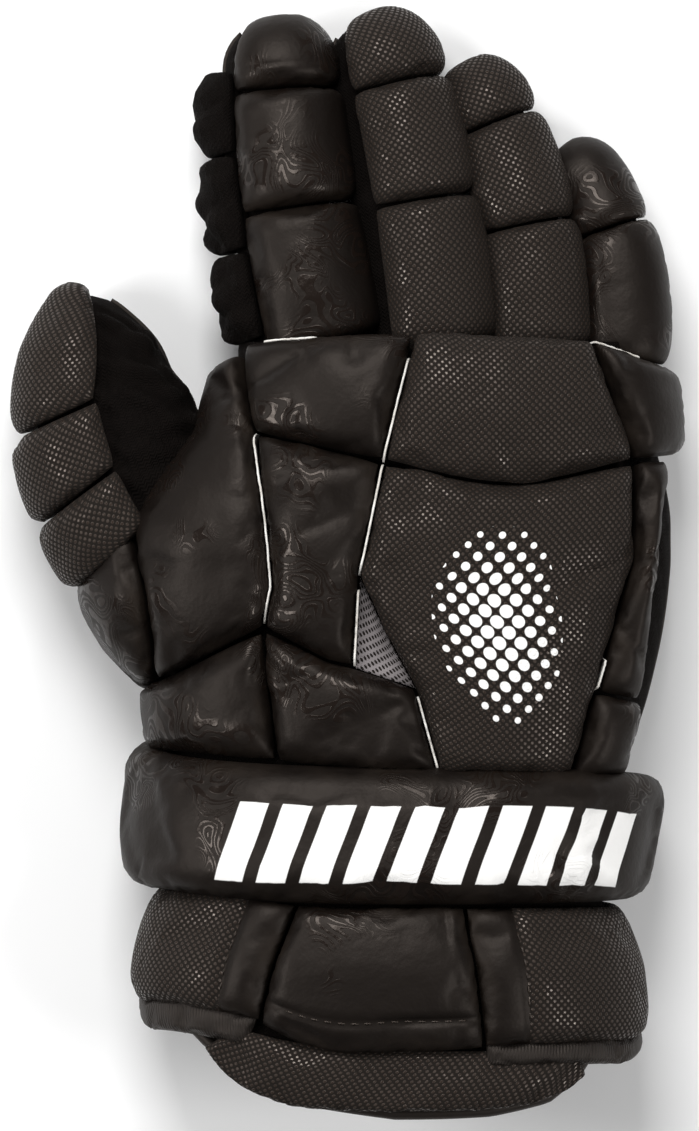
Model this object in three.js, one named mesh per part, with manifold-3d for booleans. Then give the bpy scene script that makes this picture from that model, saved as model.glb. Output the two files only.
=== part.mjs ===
// A right-hand lacrosse glove, lying palm down with its padded back up.
// Millimetres. +X points towards the little finger, +Y towards the fingertips, +Z up.
// The glove is a hollow fabric shell, in a palm half and a backing half, that carries foam pads.
import * as THREE from "three";
import Module from "manifold-3d";

const wasm = await Module();
wasm.setup();

// Driving sizes
const gloveLength = 330; // cuff skirt to middle fingertip, a 13 inch glove
const handWidth = 142; // across the padded knuckles
const handHeight = 54; // shell over the back of the hand
const fingerWidth = 31; // the index finger's tube at its root
const fingerHeight = 26;
const thumbWidth = 44;
const thumbHeight = 31;
const shellWall = 2.2;
const palmEdge = 18; // height of the seam between palm and backing, at the hand
const backPadThickness = 12;
const fingerPadThickness = 12;
const fingerSideThickness = 3.5;
const thumbPadThickness = 9;
const puffThickness = 8.5;
const rollThickness = 15;
const cuffPanelThickness = 9;
const cuffBindingThickness = 6;
const skirtThickness = 5;
const meshThickness = 1.2;
const seamGap = 0.9; // between neighbouring pads on the hand and cuff
const creaseGap = 1.1; // between the pads of a finger, where it bends
const seatGap = 0.35; // between a pad and the shell under it
const padShoulder = 6; // how far in from its edge a pad reaches full height
const rollShoulder = 9;
const cornerRadius = 5; // of a pad's outline
const padSideShare = 0.68; // how much of its thickness a pad keeps at the side of the hand
const padCrown = 1.6; // extra height in the middle of a back pad

// How the forms are drawn
const boxiness = 0.85; // 1 is an ellipse, less is squarer
const wrapAngle = 90; // degrees of turn for each half width past the silhouette
const edgeHeight = 0.58; // height of a pad's edge, as a share of its thickness
const sink = 2; // how far a pad starts below the shell's skin, before it is cut to it
const domeStart = 0.87; // where a finger tube starts to close, as a share of its length
const facetStep = 16; // widest facet across the middle of a pad
const facetTurn = 40; // and the most degrees that it spans
const skinFacets = { hand: 20, finger: 12, thumb: 12 };
const roomFacets = { hand: 14, finger: 8, thumb: 8 };
const turnStep = 0.5;
const tipThinning = 0.35; // how much thinner a pad is at a fingertip

// The hand and wrist, from the cuff's mouth to the finger roots.
// along is a share of gloveLength, edges and ridge of handWidth, heights of handHeight.
const handSections = [
  { along: 0.0, thumbEdge: -0.49, littleEdge: 0.485, ridge: 0.0, top: 1.24, waist: 0.62, under: -0.03 },
  { along: 0.06, thumbEdge: -0.5, littleEdge: 0.49, ridge: 0.0, top: 1.25, waist: 0.62, under: -0.03 },
  { along: 0.12, thumbEdge: -0.51, littleEdge: 0.48, ridge: 0.0, top: 1.25, waist: 0.6, under: -0.03 },
  { along: 0.16, thumbEdge: -0.49, littleEdge: 0.45, ridge: 0.0, top: 1.21, waist: 0.58, under: -0.03 },
  { along: 0.2, thumbEdge: -0.465, littleEdge: 0.435, ridge: 0.0, top: 1.16, waist: 0.56, under: -0.03 },
  { along: 0.25, thumbEdge: -0.475, littleEdge: 0.45, ridge: 0.01, top: 1.1, waist: 0.52, under: -0.03 },
  { along: 0.305, thumbEdge: -0.465, littleEdge: 0.48, ridge: 0.02, top: 1.05, waist: 0.46, under: -0.03 },
  { along: 0.38, thumbEdge: -0.475, littleEdge: 0.535, ridge: 0.04, top: 1.03, waist: 0.42, under: -0.03 },
  { along: 0.44, thumbEdge: -0.565, littleEdge: 0.565, ridge: 0.06, top: 1.02, waist: 0.4, under: -0.03 },
  { along: 0.472, thumbEdge: -0.6, littleEdge: 0.575, ridge: 0.075, top: 1.01, waist: 0.4, under: -0.03 },
  { along: 0.5, thumbEdge: -0.6, littleEdge: 0.58, ridge: 0.085, top: 1.0, waist: 0.4, under: -0.03 },
  { along: 0.53, thumbEdge: -0.545, littleEdge: 0.58, ridge: 0.09, top: 1.0, waist: 0.4, under: -0.03 },
  { along: 0.565, thumbEdge: -0.455, littleEdge: 0.57, ridge: 0.1, top: 1.0, waist: 0.4, under: -0.02 },
  { along: 0.61, thumbEdge: -0.37, littleEdge: 0.545, ridge: 0.1, top: 0.98, waist: 0.41, under: 0.02 },
  { along: 0.66, thumbEdge: -0.335, littleEdge: 0.535, ridge: 0.1, top: 0.93, waist: 0.43, under: 0.1 },
  { along: 0.71, thumbEdge: -0.325, littleEdge: 0.52, ridge: 0.1, top: 0.84, waist: 0.46, under: 0.18 },
];

// The cuff's open edge, seen from above: how far along it lies at each place across.
const mouthEdge = [
  { across: -0.62, along: 0.135 },
  { across: -0.54, along: 0.125 },
  { across: -0.48, along: 0.096 },
  { across: -0.4, along: 0.07 },
  { across: -0.32, along: 0.048 },
  { across: -0.2, along: 0.029 },
  { across: 0.0, along: 0.018 },
  { across: 0.2, along: 0.018 },
  { across: 0.32, along: 0.024 },
  { across: 0.38, along: 0.04 },
  { across: 0.42, along: 0.062 },
  { across: 0.5, along: 0.09 },
  { across: 0.6, along: 0.105 },
];

const mouthSlope = 0.45; // how much shorter the palm side of the cuff is, for each mm down

// Where the shell's cuff, fingers and thumb are sewn to its hand: shares of gloveLength, and for
// the thumb a station along it.
const cuffSeam = 0.3;
const fingerSeam = 0.716;
const thumbSeam = 0.8;

// The four fingers. root and tip are the ends of a tube's centreline, bow is its sideways bend
// as a share of fingerWidth, lift its extra height at the root as a share of fingerHeight,
// padFrom and padTo the degrees that its pads wrap, creases the gaps between them along it.
const fingers = [
  { name: "index", rootAcross: -0.19, rootAlong: 0.7, tipAcross: -0.27, tipAlong: 0.985, bow: -0.09, girth: 0.97,
    lift: 0, padFrom: -38, padTo: 106, creases: [0.4, 0.775] },
  { name: "middle", rootAcross: 0.05, rootAlong: 0.7, tipAcross: -0.073, tipAlong: 0.986, bow: 0.06, girth: 0.97,
    lift: 0.08, padFrom: -36, padTo: 100, creases: [0.41, 0.775] },
  { name: "ring", rootAcross: 0.293, rootAlong: 0.697, tipAcross: 0.142, tipAlong: 0.945, bow: 0.17, girth: 0.74,
    lift: 0.04, padFrom: -65, padTo: 98, creases: [0.395, 0.765] },
  { name: "little", rootAcross: 0.475, rootAlong: 0.688, tipAcross: 0.352, tipAlong: 0.868, bow: 0.2, girth: 0.62,
    lift: -0.06, padFrom: -66, padTo: 104, creases: [0.565] },
];

// A finger tube from before its root to its tip: under is the height of its underside and tall
// its height, as shares of fingerHeight, wide its width as a share of fingerWidth.
const fingerSections = [
  { share: -0.2, under: 0.44, tall: 1, wide: 1 },
  { share: 0.0, under: 0.41, tall: 1, wide: 1 },
  { share: 0.4, under: 0.28, tall: 0.97, wide: 0.97 },
  { share: 0.75, under: 0.06, tall: 0.92, wide: 0.9 },
  { share: 0.87, under: -0.02, tall: 0.88, wide: 0.84 },
  { share: 1.0, under: -0.02, tall: 0.84, wide: 0.78 },
];

// The padded folds on the index finger's thumb side, between shares of its length.
const puffs = [
  { name: "index_side_puff_base", from: 0.02, to: 0.295 },
  { name: "index_side_puff_middle", from: 0.295, to: 0.59 },
  { name: "index_side_puff_tip", from: 0.59, to: 0.85 },
];

// The thumb, from inside the hand to its tip. heading is degrees from +Y towards the thumb side,
// outer and inner are its half widths on the two sides, as shares of thumbWidth, halfHeight a
// share of thumbHeight, height of handHeight.
const thumbSections = [
  { station: -1, across: -0.43, along: 0.5, heading: 50, outer: 0.48, inner: 0.48, halfHeight: 0.56, height: 0.46 },
  { station: 0, across: -0.51, along: 0.53, heading: 42, outer: 0.52, inner: 0.58, halfHeight: 0.56, height: 0.44 },
  { station: 1, across: -0.578, along: 0.583, heading: 40, outer: 0.53, inner: 0.66, halfHeight: 0.54, height: 0.42 },
  { station: 2, across: -0.615, along: 0.642, heading: 28, outer: 0.49, inner: 0.5, halfHeight: 0.5, height: 0.38 },
  { station: 3, across: -0.618, along: 0.688, heading: 12, outer: 0.385, inner: 0.36, halfHeight: 0.42, height: 0.34 },
  { station: 4, across: -0.63, along: 0.719, heading: 4, outer: 0.22, inner: 0.22, halfHeight: 0.32, height: 0.3 },
  { station: 4.7, across: -0.64, along: 0.733, heading: 0, outer: 0.13, inner: 0.13, halfHeight: 0.19, height: 0.29 },
  { station: 5, across: -0.645, along: 0.738, heading: 0, outer: 0.02, inner: 0.02, halfHeight: 0.03, height: 0.28 },
];
const thumbDome = 3;
const thumbTip = 5;
const thumbPadFrom = -136;
const thumbPadTo = 0;
const thumbPads = [
  { name: "thumb_base_roll", from: 0.0, to: 1.0 },
  { name: "thumb_middle_roll", from: 1.0, to: 2.0 },
  { name: "thumb_tip_pad", from: 2.0, to: 4.9 },
];

// Where the seams between the back pads meet: across is a share of handWidth, along of gloveLength.
// A place wider than the hand lies that much further round its side.
const seams = {
  knuckleThumb: { across: -0.292, along: 0.692 },
  knuckleIndex: { across: 0.044, along: 0.697 },
  knuckleRing: { across: 0.399, along: 0.692 },
  knuckleWrap: { across: 0.6, along: 0.662 },
  rowThumb: { across: -0.275, along: 0.608 },
  rowIndex: { across: -0.022, along: 0.584 },
  rowMiddle: { across: 0.24, along: 0.566 },
  rowRing: { across: 0.48, along: 0.584 },
  rowWrap: { across: 0.625, along: 0.592 },
  webTopThumb: { across: -0.39, along: 0.662 },
  webTopIndex: { across: -0.3, along: 0.683 },
  webNotch: { across: -0.41, along: 0.589 },
  webSide: { across: -0.252, along: 0.472 },
  webFoot: { across: -0.268, along: 0.437 },
  creaseTop: { across: -0.53, along: 0.522 },
  creaseFoot: { across: -0.472, along: 0.394 },
  mound: { across: -0.68, along: 0.505 },
  moundLow: { across: -0.72, along: 0.443 },
  rootTop: { across: -0.6, along: 0.372 },
  rootFoot: { across: -0.58, along: 0.34 },
  wristFoot: { across: -0.237, along: 0.322 },
  indexLow: { across: -0.14, along: 0.407 },
  indexFoot: { across: -0.082, along: 0.4 },
  backElbow: { across: -0.073, along: 0.482 },
  backBend: { across: -0.02, along: 0.432 },
  backNotch: { across: 0.042, along: 0.382 },
  backFootThumb: { across: 0.09, along: 0.31 },
  backRing: { across: 0.478, along: 0.497 },
  backLow: { across: 0.399, along: 0.38 },
  backFootLittle: { across: 0.346, along: 0.307 },
  sideTop: { across: 0.545, along: 0.584 },
  sideLow: { across: 0.49, along: 0.372 },
  sideFoot: { across: 0.445, along: 0.307 },
};

// The pads on the back of the hand, each between its seams: its high and low edges run towards
// the little finger, its two side edges towards the fingertips.
const backPads = [
  { name: "knuckle_index_pad", finish: "leather", high: ["knuckleThumb", "knuckleIndex"], low: ["rowThumb", "rowIndex"],
    thumb: ["rowThumb", "knuckleThumb"], little: ["rowIndex", "knuckleIndex"] },
  { name: "knuckle_pad", finish: "weave", high: ["knuckleIndex", "knuckleRing"], low: ["rowIndex", "rowMiddle", "rowRing"],
    thumb: ["rowIndex", "knuckleIndex"], little: ["rowRing", "knuckleRing"] },
  { name: "knuckle_side_pad", finish: "leather", high: ["knuckleRing", "knuckleWrap"], low: ["rowRing", "rowWrap"],
    thumb: ["rowRing", "knuckleRing"], little: ["rowWrap", "knuckleWrap"] },
  { name: "web_pad", finish: "leather", high: ["webTopThumb", "webTopIndex"], low: ["creaseFoot", "webFoot"],
    thumb: ["creaseFoot", "creaseTop", "webNotch", "webTopThumb"],
    little: ["webFoot", "webSide", "rowThumb", "webTopIndex"] },
  { name: "thumb_mound_pad", finish: "leather", high: ["mound", "creaseTop"], low: ["rootTop", "creaseFoot"],
    thumb: ["rootTop", "moundLow", "mound"], little: ["creaseFoot", "creaseTop"] },
  { name: "index_back_pad", finish: "leather", high: ["rowThumb", "rowIndex"], low: ["webFoot", "indexLow", "indexFoot"],
    thumb: ["webFoot", "webSide", "rowThumb"], little: ["indexFoot", "backElbow", "rowIndex"] },
  { name: "centre_back_pad", finish: "weave", high: ["rowIndex", "rowMiddle", "rowRing"],
    low: ["backFootThumb", "backFootLittle"], thumb: ["backFootThumb", "backNotch", "backBend", "backElbow", "rowIndex"],
    little: ["backFootLittle", "backLow", "backRing", "rowRing"] },
  { name: "side_back_pad", finish: "leather", high: ["rowRing", "sideTop"], low: ["backLow", "sideLow"],
    thumb: ["backLow", "backRing", "rowRing"], little: ["sideLow", "sideTop"] },
  { name: "side_wrist_pad", finish: "leather", high: ["backLow", "sideLow"], low: ["backFootLittle", "sideFoot"],
    thumb: ["backFootLittle", "backLow"], little: ["sideFoot", "sideLow"] },
  { name: "thumb_root_pad", finish: "leather", high: ["rootTop", "creaseFoot", "webFoot"], low: ["rootFoot", "wristFoot"],
    thumb: ["rootFoot", "rootTop"], little: ["wristFoot", "webFoot"] },
  { name: "wrist_pad", finish: "leather", high: ["webFoot", "indexLow", "indexFoot", "backNotch"],
    low: ["wristFoot", "backFootThumb"], thumb: ["wristFoot", "webFoot"], little: ["backFootThumb", "backNotch"] },
];

// The mesh gusset that three of those pads leave open.
const gusset = { high: ["backElbow", "backBend"], low: ["indexFoot", "backNotch"],
  thumb: ["indexFoot", "backElbow"], little: ["backNotch", "backBend"] };

// The pads that wrap the wrist and cuff. Angles are degrees from the top towards the little finger,
// at the low and the high edge. Each edge runs along three shares of gloveLength: thumb side,
// middle, little side. lowCurve is how squarely the low edge turns its corners.
const wristPads = [
  { name: "wrist_roll", finish: "leather", lowFrom: -122, lowTo: 120, highFrom: -122, highTo: 120,
    lowThumb: 0.226, lowMiddle: 0.183, lowLittle: 0.19, highThumb: 0.352, highMiddle: 0.311, highLittle: 0.309, lowCurve: 2 },
  { name: "cuff_thumb_panel", finish: "weave", lowFrom: -112, lowTo: -29, highFrom: -118, highTo: -21,
    lowThumb: 0.134, lowMiddle: 0.099, lowLittle: 0.083, highThumb: 0.222, highMiddle: 0.199, highLittle: 0.185, lowCurve: 2 },
  { name: "cuff_centre_panel", finish: "leather", lowFrom: -29, lowTo: 18, highFrom: -21, highTo: 15,
    lowThumb: 0.081, lowMiddle: 0.055, lowLittle: 0.059, highThumb: 0.185, highMiddle: 0.183, highLittle: 0.183, lowCurve: 2 },
  { name: "cuff_little_panel", finish: "weave", lowFrom: 18, lowTo: 108, highFrom: 15, highTo: 116,
    lowThumb: 0.06, lowMiddle: 0.064, lowLittle: 0.1, highThumb: 0.183, highMiddle: 0.183, highLittle: 0.189, lowCurve: 2 },
  { name: "cuff_thumb_binding", finish: "binding", lowFrom: -108, lowTo: -34, highFrom: -112, highTo: -29,
    lowThumb: 0.114, lowMiddle: 0.077, lowLittle: 0.064, highThumb: 0.134, highMiddle: 0.099, highLittle: 0.083, lowCurve: 2 },
  { name: "cuff_little_binding", finish: "binding", lowFrom: 19, lowTo: 104, highFrom: 18, highTo: 108,
    lowThumb: 0.045, lowMiddle: 0.046, lowLittle: 0.078, highThumb: 0.06, highMiddle: 0.064, highLittle: 0.1, lowCurve: 2 },
  { name: "cuff_skirt", finish: "weave", lowFrom: -52, lowTo: 52, highFrom: -34, highTo: 47,
    lowThumb: 0.06, lowMiddle: 0.002, lowLittle: 0.034, highThumb: 0.066, highMiddle: 0.048, highLittle: 0.043, lowCurve: 3 },
];
const wristPadSizes = {
  wrist_roll: { thickness: rollThickness, side: 0.93, shoulder: rollShoulder },
  cuff_thumb_binding: { thickness: cuffBindingThickness, side: padSideShare, shoulder: cuffBindingThickness / 2 },
  cuff_little_binding: { thickness: cuffBindingThickness, side: padSideShare, shoulder: cuffBindingThickness / 2 },
  cuff_skirt: { thickness: skirtThickness, side: padSideShare, shoulder: skirtThickness / 2 },
};
const cuffPanelSize = { thickness: cuffPanelThickness, side: padSideShare, shoulder: padShoulder };

const finishes = {
  leather: new THREE.MeshStandardMaterial({ color: "#2a2624", roughness: 0.42, metalness: 0 }),
  weave: new THREE.MeshStandardMaterial({ color: "#262321", roughness: 0.5, metalness: 0 }),
  binding: new THREE.MeshStandardMaterial({ color: "#242120", roughness: 0.6, metalness: 0 }),
  knit: new THREE.MeshStandardMaterial({ color: "#141110", roughness: 0.95, metalness: 0 }),
  palm: new THREE.MeshStandardMaterial({ color: "#1d1a19", roughness: 0.7, metalness: 0 }),
  mesh: new THREE.MeshStandardMaterial({ color: "#8d8688", roughness: 0.85, metalness: 0 }),
};

const { degToRad, radToDeg, lerp, clamp } = THREE.MathUtils;

// Reads a table at any place between its rows, each column along a curve that never overshoots.
function sampler(rows, key) {
  const at = rows.map((row) => row[key]);
  const steps = at.slice(1).map((x, i) => x - at[i]);
  const names = Object.keys(rows[0]).filter((name) => typeof rows[0][name] === "number");
  const tracks = names.map((name) => {
    const value = rows.map((row) => row[name]);
    const slope = steps.map((step, i) => (value[i + 1] - value[i]) / step);
    const tangent = value.map((_, i) => {
      const before = slope[Math.max(i - 1, 0)];
      const after = slope[Math.min(i, slope.length - 1)];
      return before * after <= 0 ? 0 : (2 * before * after) / (before + after);
    });
    return { name, value, tangent };
  });
  return (x) => {
    const place = clamp(x, at[0], at[at.length - 1]);
    const i = Math.max(0, at.findLastIndex((a, n) => a <= place && n < steps.length));
    const t = (place - at[i]) / steps[i];
    const row = {};
    for (const { name, value, tangent } of tracks) {
      row[name] =
        value[i] * (1 + 2 * t) * (1 - t) ** 2 +
        value[i + 1] * t * t * (3 - 2 * t) +
        steps[i] * t * (1 - t) * (tangent[i] * (1 - t) - tangent[i + 1] * t);
    }
    return row;
  };
}

const handAt = sampler(handSections, "along");
const mouthAt = sampler(mouthEdge, "across");
const fingerAt = sampler(fingerSections, "share");
const thumbAt = sampler(thumbSections, "station");

const squared = (value) => Math.sign(value) * Math.abs(value) ** boxiness;

// The surfaces that everything is drawn on. Each takes a turn in degrees, 0 at the top and
// positive towards the little finger, and a place along itself.
const handSurface = {
  step: 0.5,
  point(angle, y) {
    const s = handAt(y / gloveLength);
    const side = squared(Math.sin(degToRad(angle)));
    const rise = squared(Math.cos(degToRad(angle)));
    const edge = side < 0 ? s.thumbEdge : s.littleEdge;
    const limit = rise < 0 ? s.under : s.top;
    return new THREE.Vector3(
      lerp(s.ridge, edge, Math.abs(side)) * handWidth,
      y,
      lerp(s.waist, limit, Math.abs(rise)) * handHeight,
    );
  },
};

// The turn at which a place seen from above lies on the hand.
function turnAt(x, y) {
  const s = handAt(y / gloveLength);
  const offset = x / handWidth - s.ridge;
  const half = offset < 0 ? s.ridge - s.thumbEdge : s.littleEdge - s.ridge;
  const share = Math.abs(offset) / half;
  const turn = share <= 1 ? radToDeg(Math.asin(share ** (1 / boxiness))) : 90 + (share - 1) * wrapAngle;
  return Math.sign(offset) * turn;
}

function fingerSurface(finger) {
  const root = new THREE.Vector2(finger.rootAcross * handWidth, finger.rootAlong * gloveLength);
  const tip = new THREE.Vector2(finger.tipAcross * handWidth, finger.tipAlong * gloveLength);
  const reach = tip.clone().sub(root);
  const aside = new THREE.Vector2(reach.y, -reach.x).normalize();
  const bow = finger.bow * fingerWidth;
  const closing = (share) => Math.max(0, (share - domeStart) / (1 - domeStart));
  return {
    step: 0.004,
    closing,
    point(angle, share) {
      const s = fingerAt(share);
      const dome = Math.sqrt(Math.max(0, 1 - closing(share) ** 2));
      const bend = 4 * bow * share * (1 - share);
      const slope = (4 * bow * (1 - 2 * share)) / reach.length();
      const forward = reach.clone().normalize().addScaledVector(aside, slope).normalize();
      const tall = s.tall * lerp(1, finger.girth, 0.5);
      const halfWidth = (fingerWidth / 2) * s.wide * finger.girth * dome;
      const halfHeight = (fingerHeight / 2) * tall * dome;
      const side = squared(Math.sin(degToRad(angle))) * halfWidth;
      const middle = s.under + tall / 2 + finger.lift * (1 - Math.max(0, share));
      const plan = root.clone().addScaledVector(reach, share).addScaledVector(aside, bend);
      return new THREE.Vector3(
        plan.x + side * forward.y,
        plan.y - side * forward.x,
        middle * fingerHeight + squared(Math.cos(degToRad(angle))) * halfHeight,
      );
    },
  };
}

const thumbSurface = {
  step: 0.02,
  closing: (station) => Math.max(0, (station - thumbDome) / (thumbTip - thumbDome)),
  point(angle, station) {
    const s = thumbAt(station);
    const heading = degToRad(s.heading);
    const turned = squared(Math.sin(degToRad(angle)));
    const side = turned * (turned < 0 ? s.outer : s.inner) * thumbWidth;
    return new THREE.Vector3(
      s.across * handWidth + side * Math.cos(heading),
      s.along * gloveLength + side * Math.sin(heading),
      s.height * handHeight + squared(Math.cos(degToRad(angle))) * s.halfHeight * thumbHeight,
    );
  },
};

// A point that stands off a surface by a height along the surface's own normal.
function standOff(surface, angle, at, height) {
  const across = surface.point(angle + turnStep, at).sub(surface.point(angle - turnStep, at));
  const along = surface.point(angle, at + surface.step).sub(surface.point(angle, at - surface.step));
  return surface.point(angle, at).addScaledVector(across.cross(along).normalize(), height);
}

// A closed solid from its corner points and its triangles, turned to face outwards.
function solidFrom(points, triangles) {
  const volume = triangles.reduce(
    (sum, [a, b, c]) => sum + points[a].dot(points[b].clone().cross(points[c])), 0);
  const facing = volume < 0 ? triangles.map(([a, b, c]) => [a, c, b]) : triangles;
  return new wasm.Manifold(new wasm.Mesh({
    numProp: 3,
    vertProperties: new Float32Array(points.flatMap((p) => p.toArray())),
    triVerts: new Uint32Array(facing.flat()),
  }));
}

// Rings of equal length joined into a tube whose two ends close on a point.
function loft(rings) {
  const count = rings[0].length;
  const points = rings.flat();
  const triangles = [];
  for (let r = 0; r + 1 < rings.length; r++) {
    for (let i = 0; i < count; i++) {
      const next = (i + 1) % count;
      const corner = [r * count + i, r * count + next, (r + 1) * count + next, (r + 1) * count + i];
      triangles.push([corner[0], corner[1], corner[2]], [corner[0], corner[2], corner[3]]);
    }
  }
  for (const [ring, start, near] of [[rings[0], 0, true], [rings[rings.length - 1], (rings.length - 1) * count, false]]) {
    const hub = ring.reduce((sum, p) => sum.add(p), new THREE.Vector3()).divideScalar(count);
    points.push(hub);
    for (let i = 0; i < count; i++) {
      const pair = [start + i, start + ((i + 1) % count)];
      triangles.push(near ? [points.length - 1, pair[1], pair[0]] : [points.length - 1, pair[0], pair[1]]);
    }
  }
  return solidFrom(points, triangles);
}

function tube(surface, places, facets, offset) {
  const turns = Array.from({ length: facets }, (_, i) => (360 * i) / facets);
  return loft(places.map((at) => turns.map((turn) => standOff(surface, turn, at, offset))));
}

// A solid between a top and a bottom sheet of points, each a grid of rows.
function slab(top, bottom) {
  const rows = top.length;
  const columns = top[0].length;
  const points = [...top.flat(), ...bottom.flat()];
  const under = rows * columns;
  const triangles = [];
  for (let r = 0; r + 1 < rows; r++) {
    for (let c = 0; c + 1 < columns; c++) {
      const corner = [r * columns + c, r * columns + c + 1, (r + 1) * columns + c + 1, (r + 1) * columns + c];
      triangles.push([corner[0], corner[1], corner[2]], [corner[0], corner[2], corner[3]]);
      const below = corner.map((index) => index + under);
      triangles.push([below[2], below[1], below[0]], [below[3], below[2], below[0]]);
    }
  }
  const rim = [];
  for (let c = 0; c + 1 < columns; c++) rim.push(c);
  for (let r = 0; r + 1 < rows; r++) rim.push(r * columns + columns - 1);
  for (let c = columns - 1; c > 0; c--) rim.push((rows - 1) * columns + c);
  for (let r = rows - 1; r > 0; r--) rim.push(r * columns);
  rim.forEach((a, i) => {
    const b = rim[(i + 1) % rim.length];
    triangles.push([a, a + under, b], [b, a + under, b + under]);
  });
  return solidFrom(points, triangles);
}

// A quarter circle up from a pad's edge to its full height.
function shoulderLift(distance, radius) {
  const t = clamp(distance / radius, 0, 1);
  return Math.sqrt(t * (2 - t));
}

// Places from -1 to 1 across a pad: close together over its shoulders, wider in between.
function gridLines(width, shoulder, turning) {
  const reach = Math.min((2 * shoulder) / width, 0.8);
  const inner = Math.round((1 - reach) * Math.max(width / facetStep, turning / facetTurn));
  const low = [-1, -1 + 0.3 * reach, -1 + reach];
  const middle = Array.from({ length: inner - 1 }, (_, i) => lerp(-1 + reach, 1 - reach, (i + 1) / inner));
  return [...low, ...middle, ...low.map((x) => -x).reverse()];
}

// A pad over a four-sided patch of a surface. place(a, b) gives the turn and the place along,
// with a and b from -1 to 1. thickness(turn, at) is its full height, gap its distance to the next.
function patchPad({ surface, place, thickness, shoulder, crown, gap, grow }) {
  const on = (a, b) => surface.point(...place(a, b));
  const run = (ends) => ends.slice(1).reduce((sum, p, i) => sum + p.distanceTo(ends[i]), 0);
  const shares = Array.from({ length: 9 }, (_, i) => i / 4 - 1);
  const width = run(shares.map((a) => on(a, 0)));
  const length = run(shares.map((b) => on(0, b)));
  const across = gridLines(width, shoulder, Math.abs(place(1, 0)[0] - place(-1, 0)[0]));
  const along = gridLines(length, shoulder, 0);
  const inset = (size, a, b) => 1 - (gap - 2 * grow) / size - ((0.3 * cornerRadius) / (size / 2)) * (a * b) ** 4;
  const sheet = (heightAt) => along.map((b) => across.map((a) => {
    const [turn, at] = place(a * inset(width, a, b), b * inset(length, a, b));
    return standOff(surface, turn, at, heightAt(a, b, turn, at));
  }));
  const top = sheet((a, b, turn, at) => {
    const lift = shoulderLift(((1 - Math.abs(a)) * width) / 2, shoulder) *
      shoulderLift(((1 - Math.abs(b)) * length) / 2, shoulder);
    return thickness(turn, at) * lerp(edgeHeight, 1, lift) + crown * (1 - a * a) * (1 - b * b) + grow;
  });
  return slab(top, sheet(() => -sink - grow));
}

// The point at a share of a broken line's length.
function alongLine(line, share) {
  const runs = line.slice(1).map((p, i) => p.distanceTo(line[i]));
  const total = runs.reduce((sum, run) => sum + run, 0);
  let rest = share * total;
  let i = 0;
  while (i < runs.length - 1 && rest > runs[i]) {
    rest -= runs[i];
    i += 1;
  }
  return line[i].clone().lerp(line[i + 1], rest / runs[i]);
}

// Fills the plan between four edges evenly: the usual blend of two opposite pairs.
const seamPoint = (name) => new THREE.Vector2(seams[name].across * handWidth, seams[name].along * gloveLength);
function seamedPatch(pad) {
  const edge = Object.fromEntries(["high", "low", "thumb", "little"].map((side) => [side, pad[side].map(seamPoint)]));
  return (a, b) => {
    const u = (a + 1) / 2;
    const v = (b + 1) / 2;
    const rows = alongLine(edge.low, u).lerp(alongLine(edge.high, u), v);
    const columns = alongLine(edge.thumb, v).lerp(alongLine(edge.little, v), u);
    const corners = alongLine(edge.low, 0).lerp(alongLine(edge.low, 1), u)
      .lerp(alongLine(edge.high, 0).lerp(alongLine(edge.high, 1), u), v);
    const plan = rows.add(columns).sub(corners);
    return [turnAt(plan.x, plan.y), plan.y];
  };
}

// Pads thin out to a share of their thickness as they turn down the side of the hand.
function thinned(turn, side) {
  return lerp(side, 1, Math.max(0, Math.cos(degToRad(turn))));
}

const biggest = (solid) => solid.decompose().reduce((a, b) => (b.volume() > a.volume() ? b : a));

function boxSolid(low, high) {
  const geometry = new THREE.BoxGeometry(...high.clone().sub(low).toArray());
  geometry.translate(...low.clone().add(high).multiplyScalar(0.5).toArray());
  return extruded(geometry);
}

// A closed geometry as a solid, its corners merged by place.
function extruded(geometry) {
  const flat = geometry.index ? geometry.toNonIndexed() : geometry;
  const position = flat.getAttribute("position");
  const points = [];
  const known = new Map();
  const index = [];
  for (let i = 0; i < position.count; i++) {
    const p = new THREE.Vector3().fromBufferAttribute(position, i);
    const key = p.toArray().map((v) => v.toFixed(4)).join();
    if (!known.has(key)) known.set(key, points.push(p) - 1);
    index.push(known.get(key));
  }
  const triangles = Array.from({ length: index.length / 3 }, (_, i) => index.slice(3 * i, 3 * i + 3));
  return solidFrom(points, triangles);
}

// The shell's outer skin and the room inside it, each as one closed body.
const fingerSurfaces = fingers.map(fingerSurface);
const handPlaces = handSections.map((row) => row.along * gloveLength);
const skinPlaces = { finger: [-0.2, 0, 0.4, 0.75, domeStart, 0.94, 0.985], thumb: [-1, 0, 1, 2, 2.5, 3, 4, 4.7, 4.98] };
const roomPlaces = { finger: [-0.2, 0.4, 0.75, domeStart, 0.96], thumb: [-1, 0, 1, 2, 3, 4] };
function skin(offset, facets, places, mouthExtra) {
  const rootsPlace = handPlaces[handPlaces.length - 1];
  const hand = tube(handSurface, [-mouthExtra, ...handPlaces.slice(1, -1), rootsPlace + offset], facets.hand, offset);
  const thumb = tube(thumbSurface, places.thumb, facets.thumb, offset);
  return fingerSurfaces.reduce(
    (whole, surface) => whole.add(tube(surface, places.finger, facets.finger, offset)), hand.add(thumb));
}

// A tall prism over an outline seen from above.
function prism(outline) {
  const geometry = new THREE.ExtrudeGeometry(new THREE.Shape(outline), { depth: 6 * handHeight, bevelEnabled: false });
  geometry.translate(0, 0, -2 * handHeight);
  return geometry;
}

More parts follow.
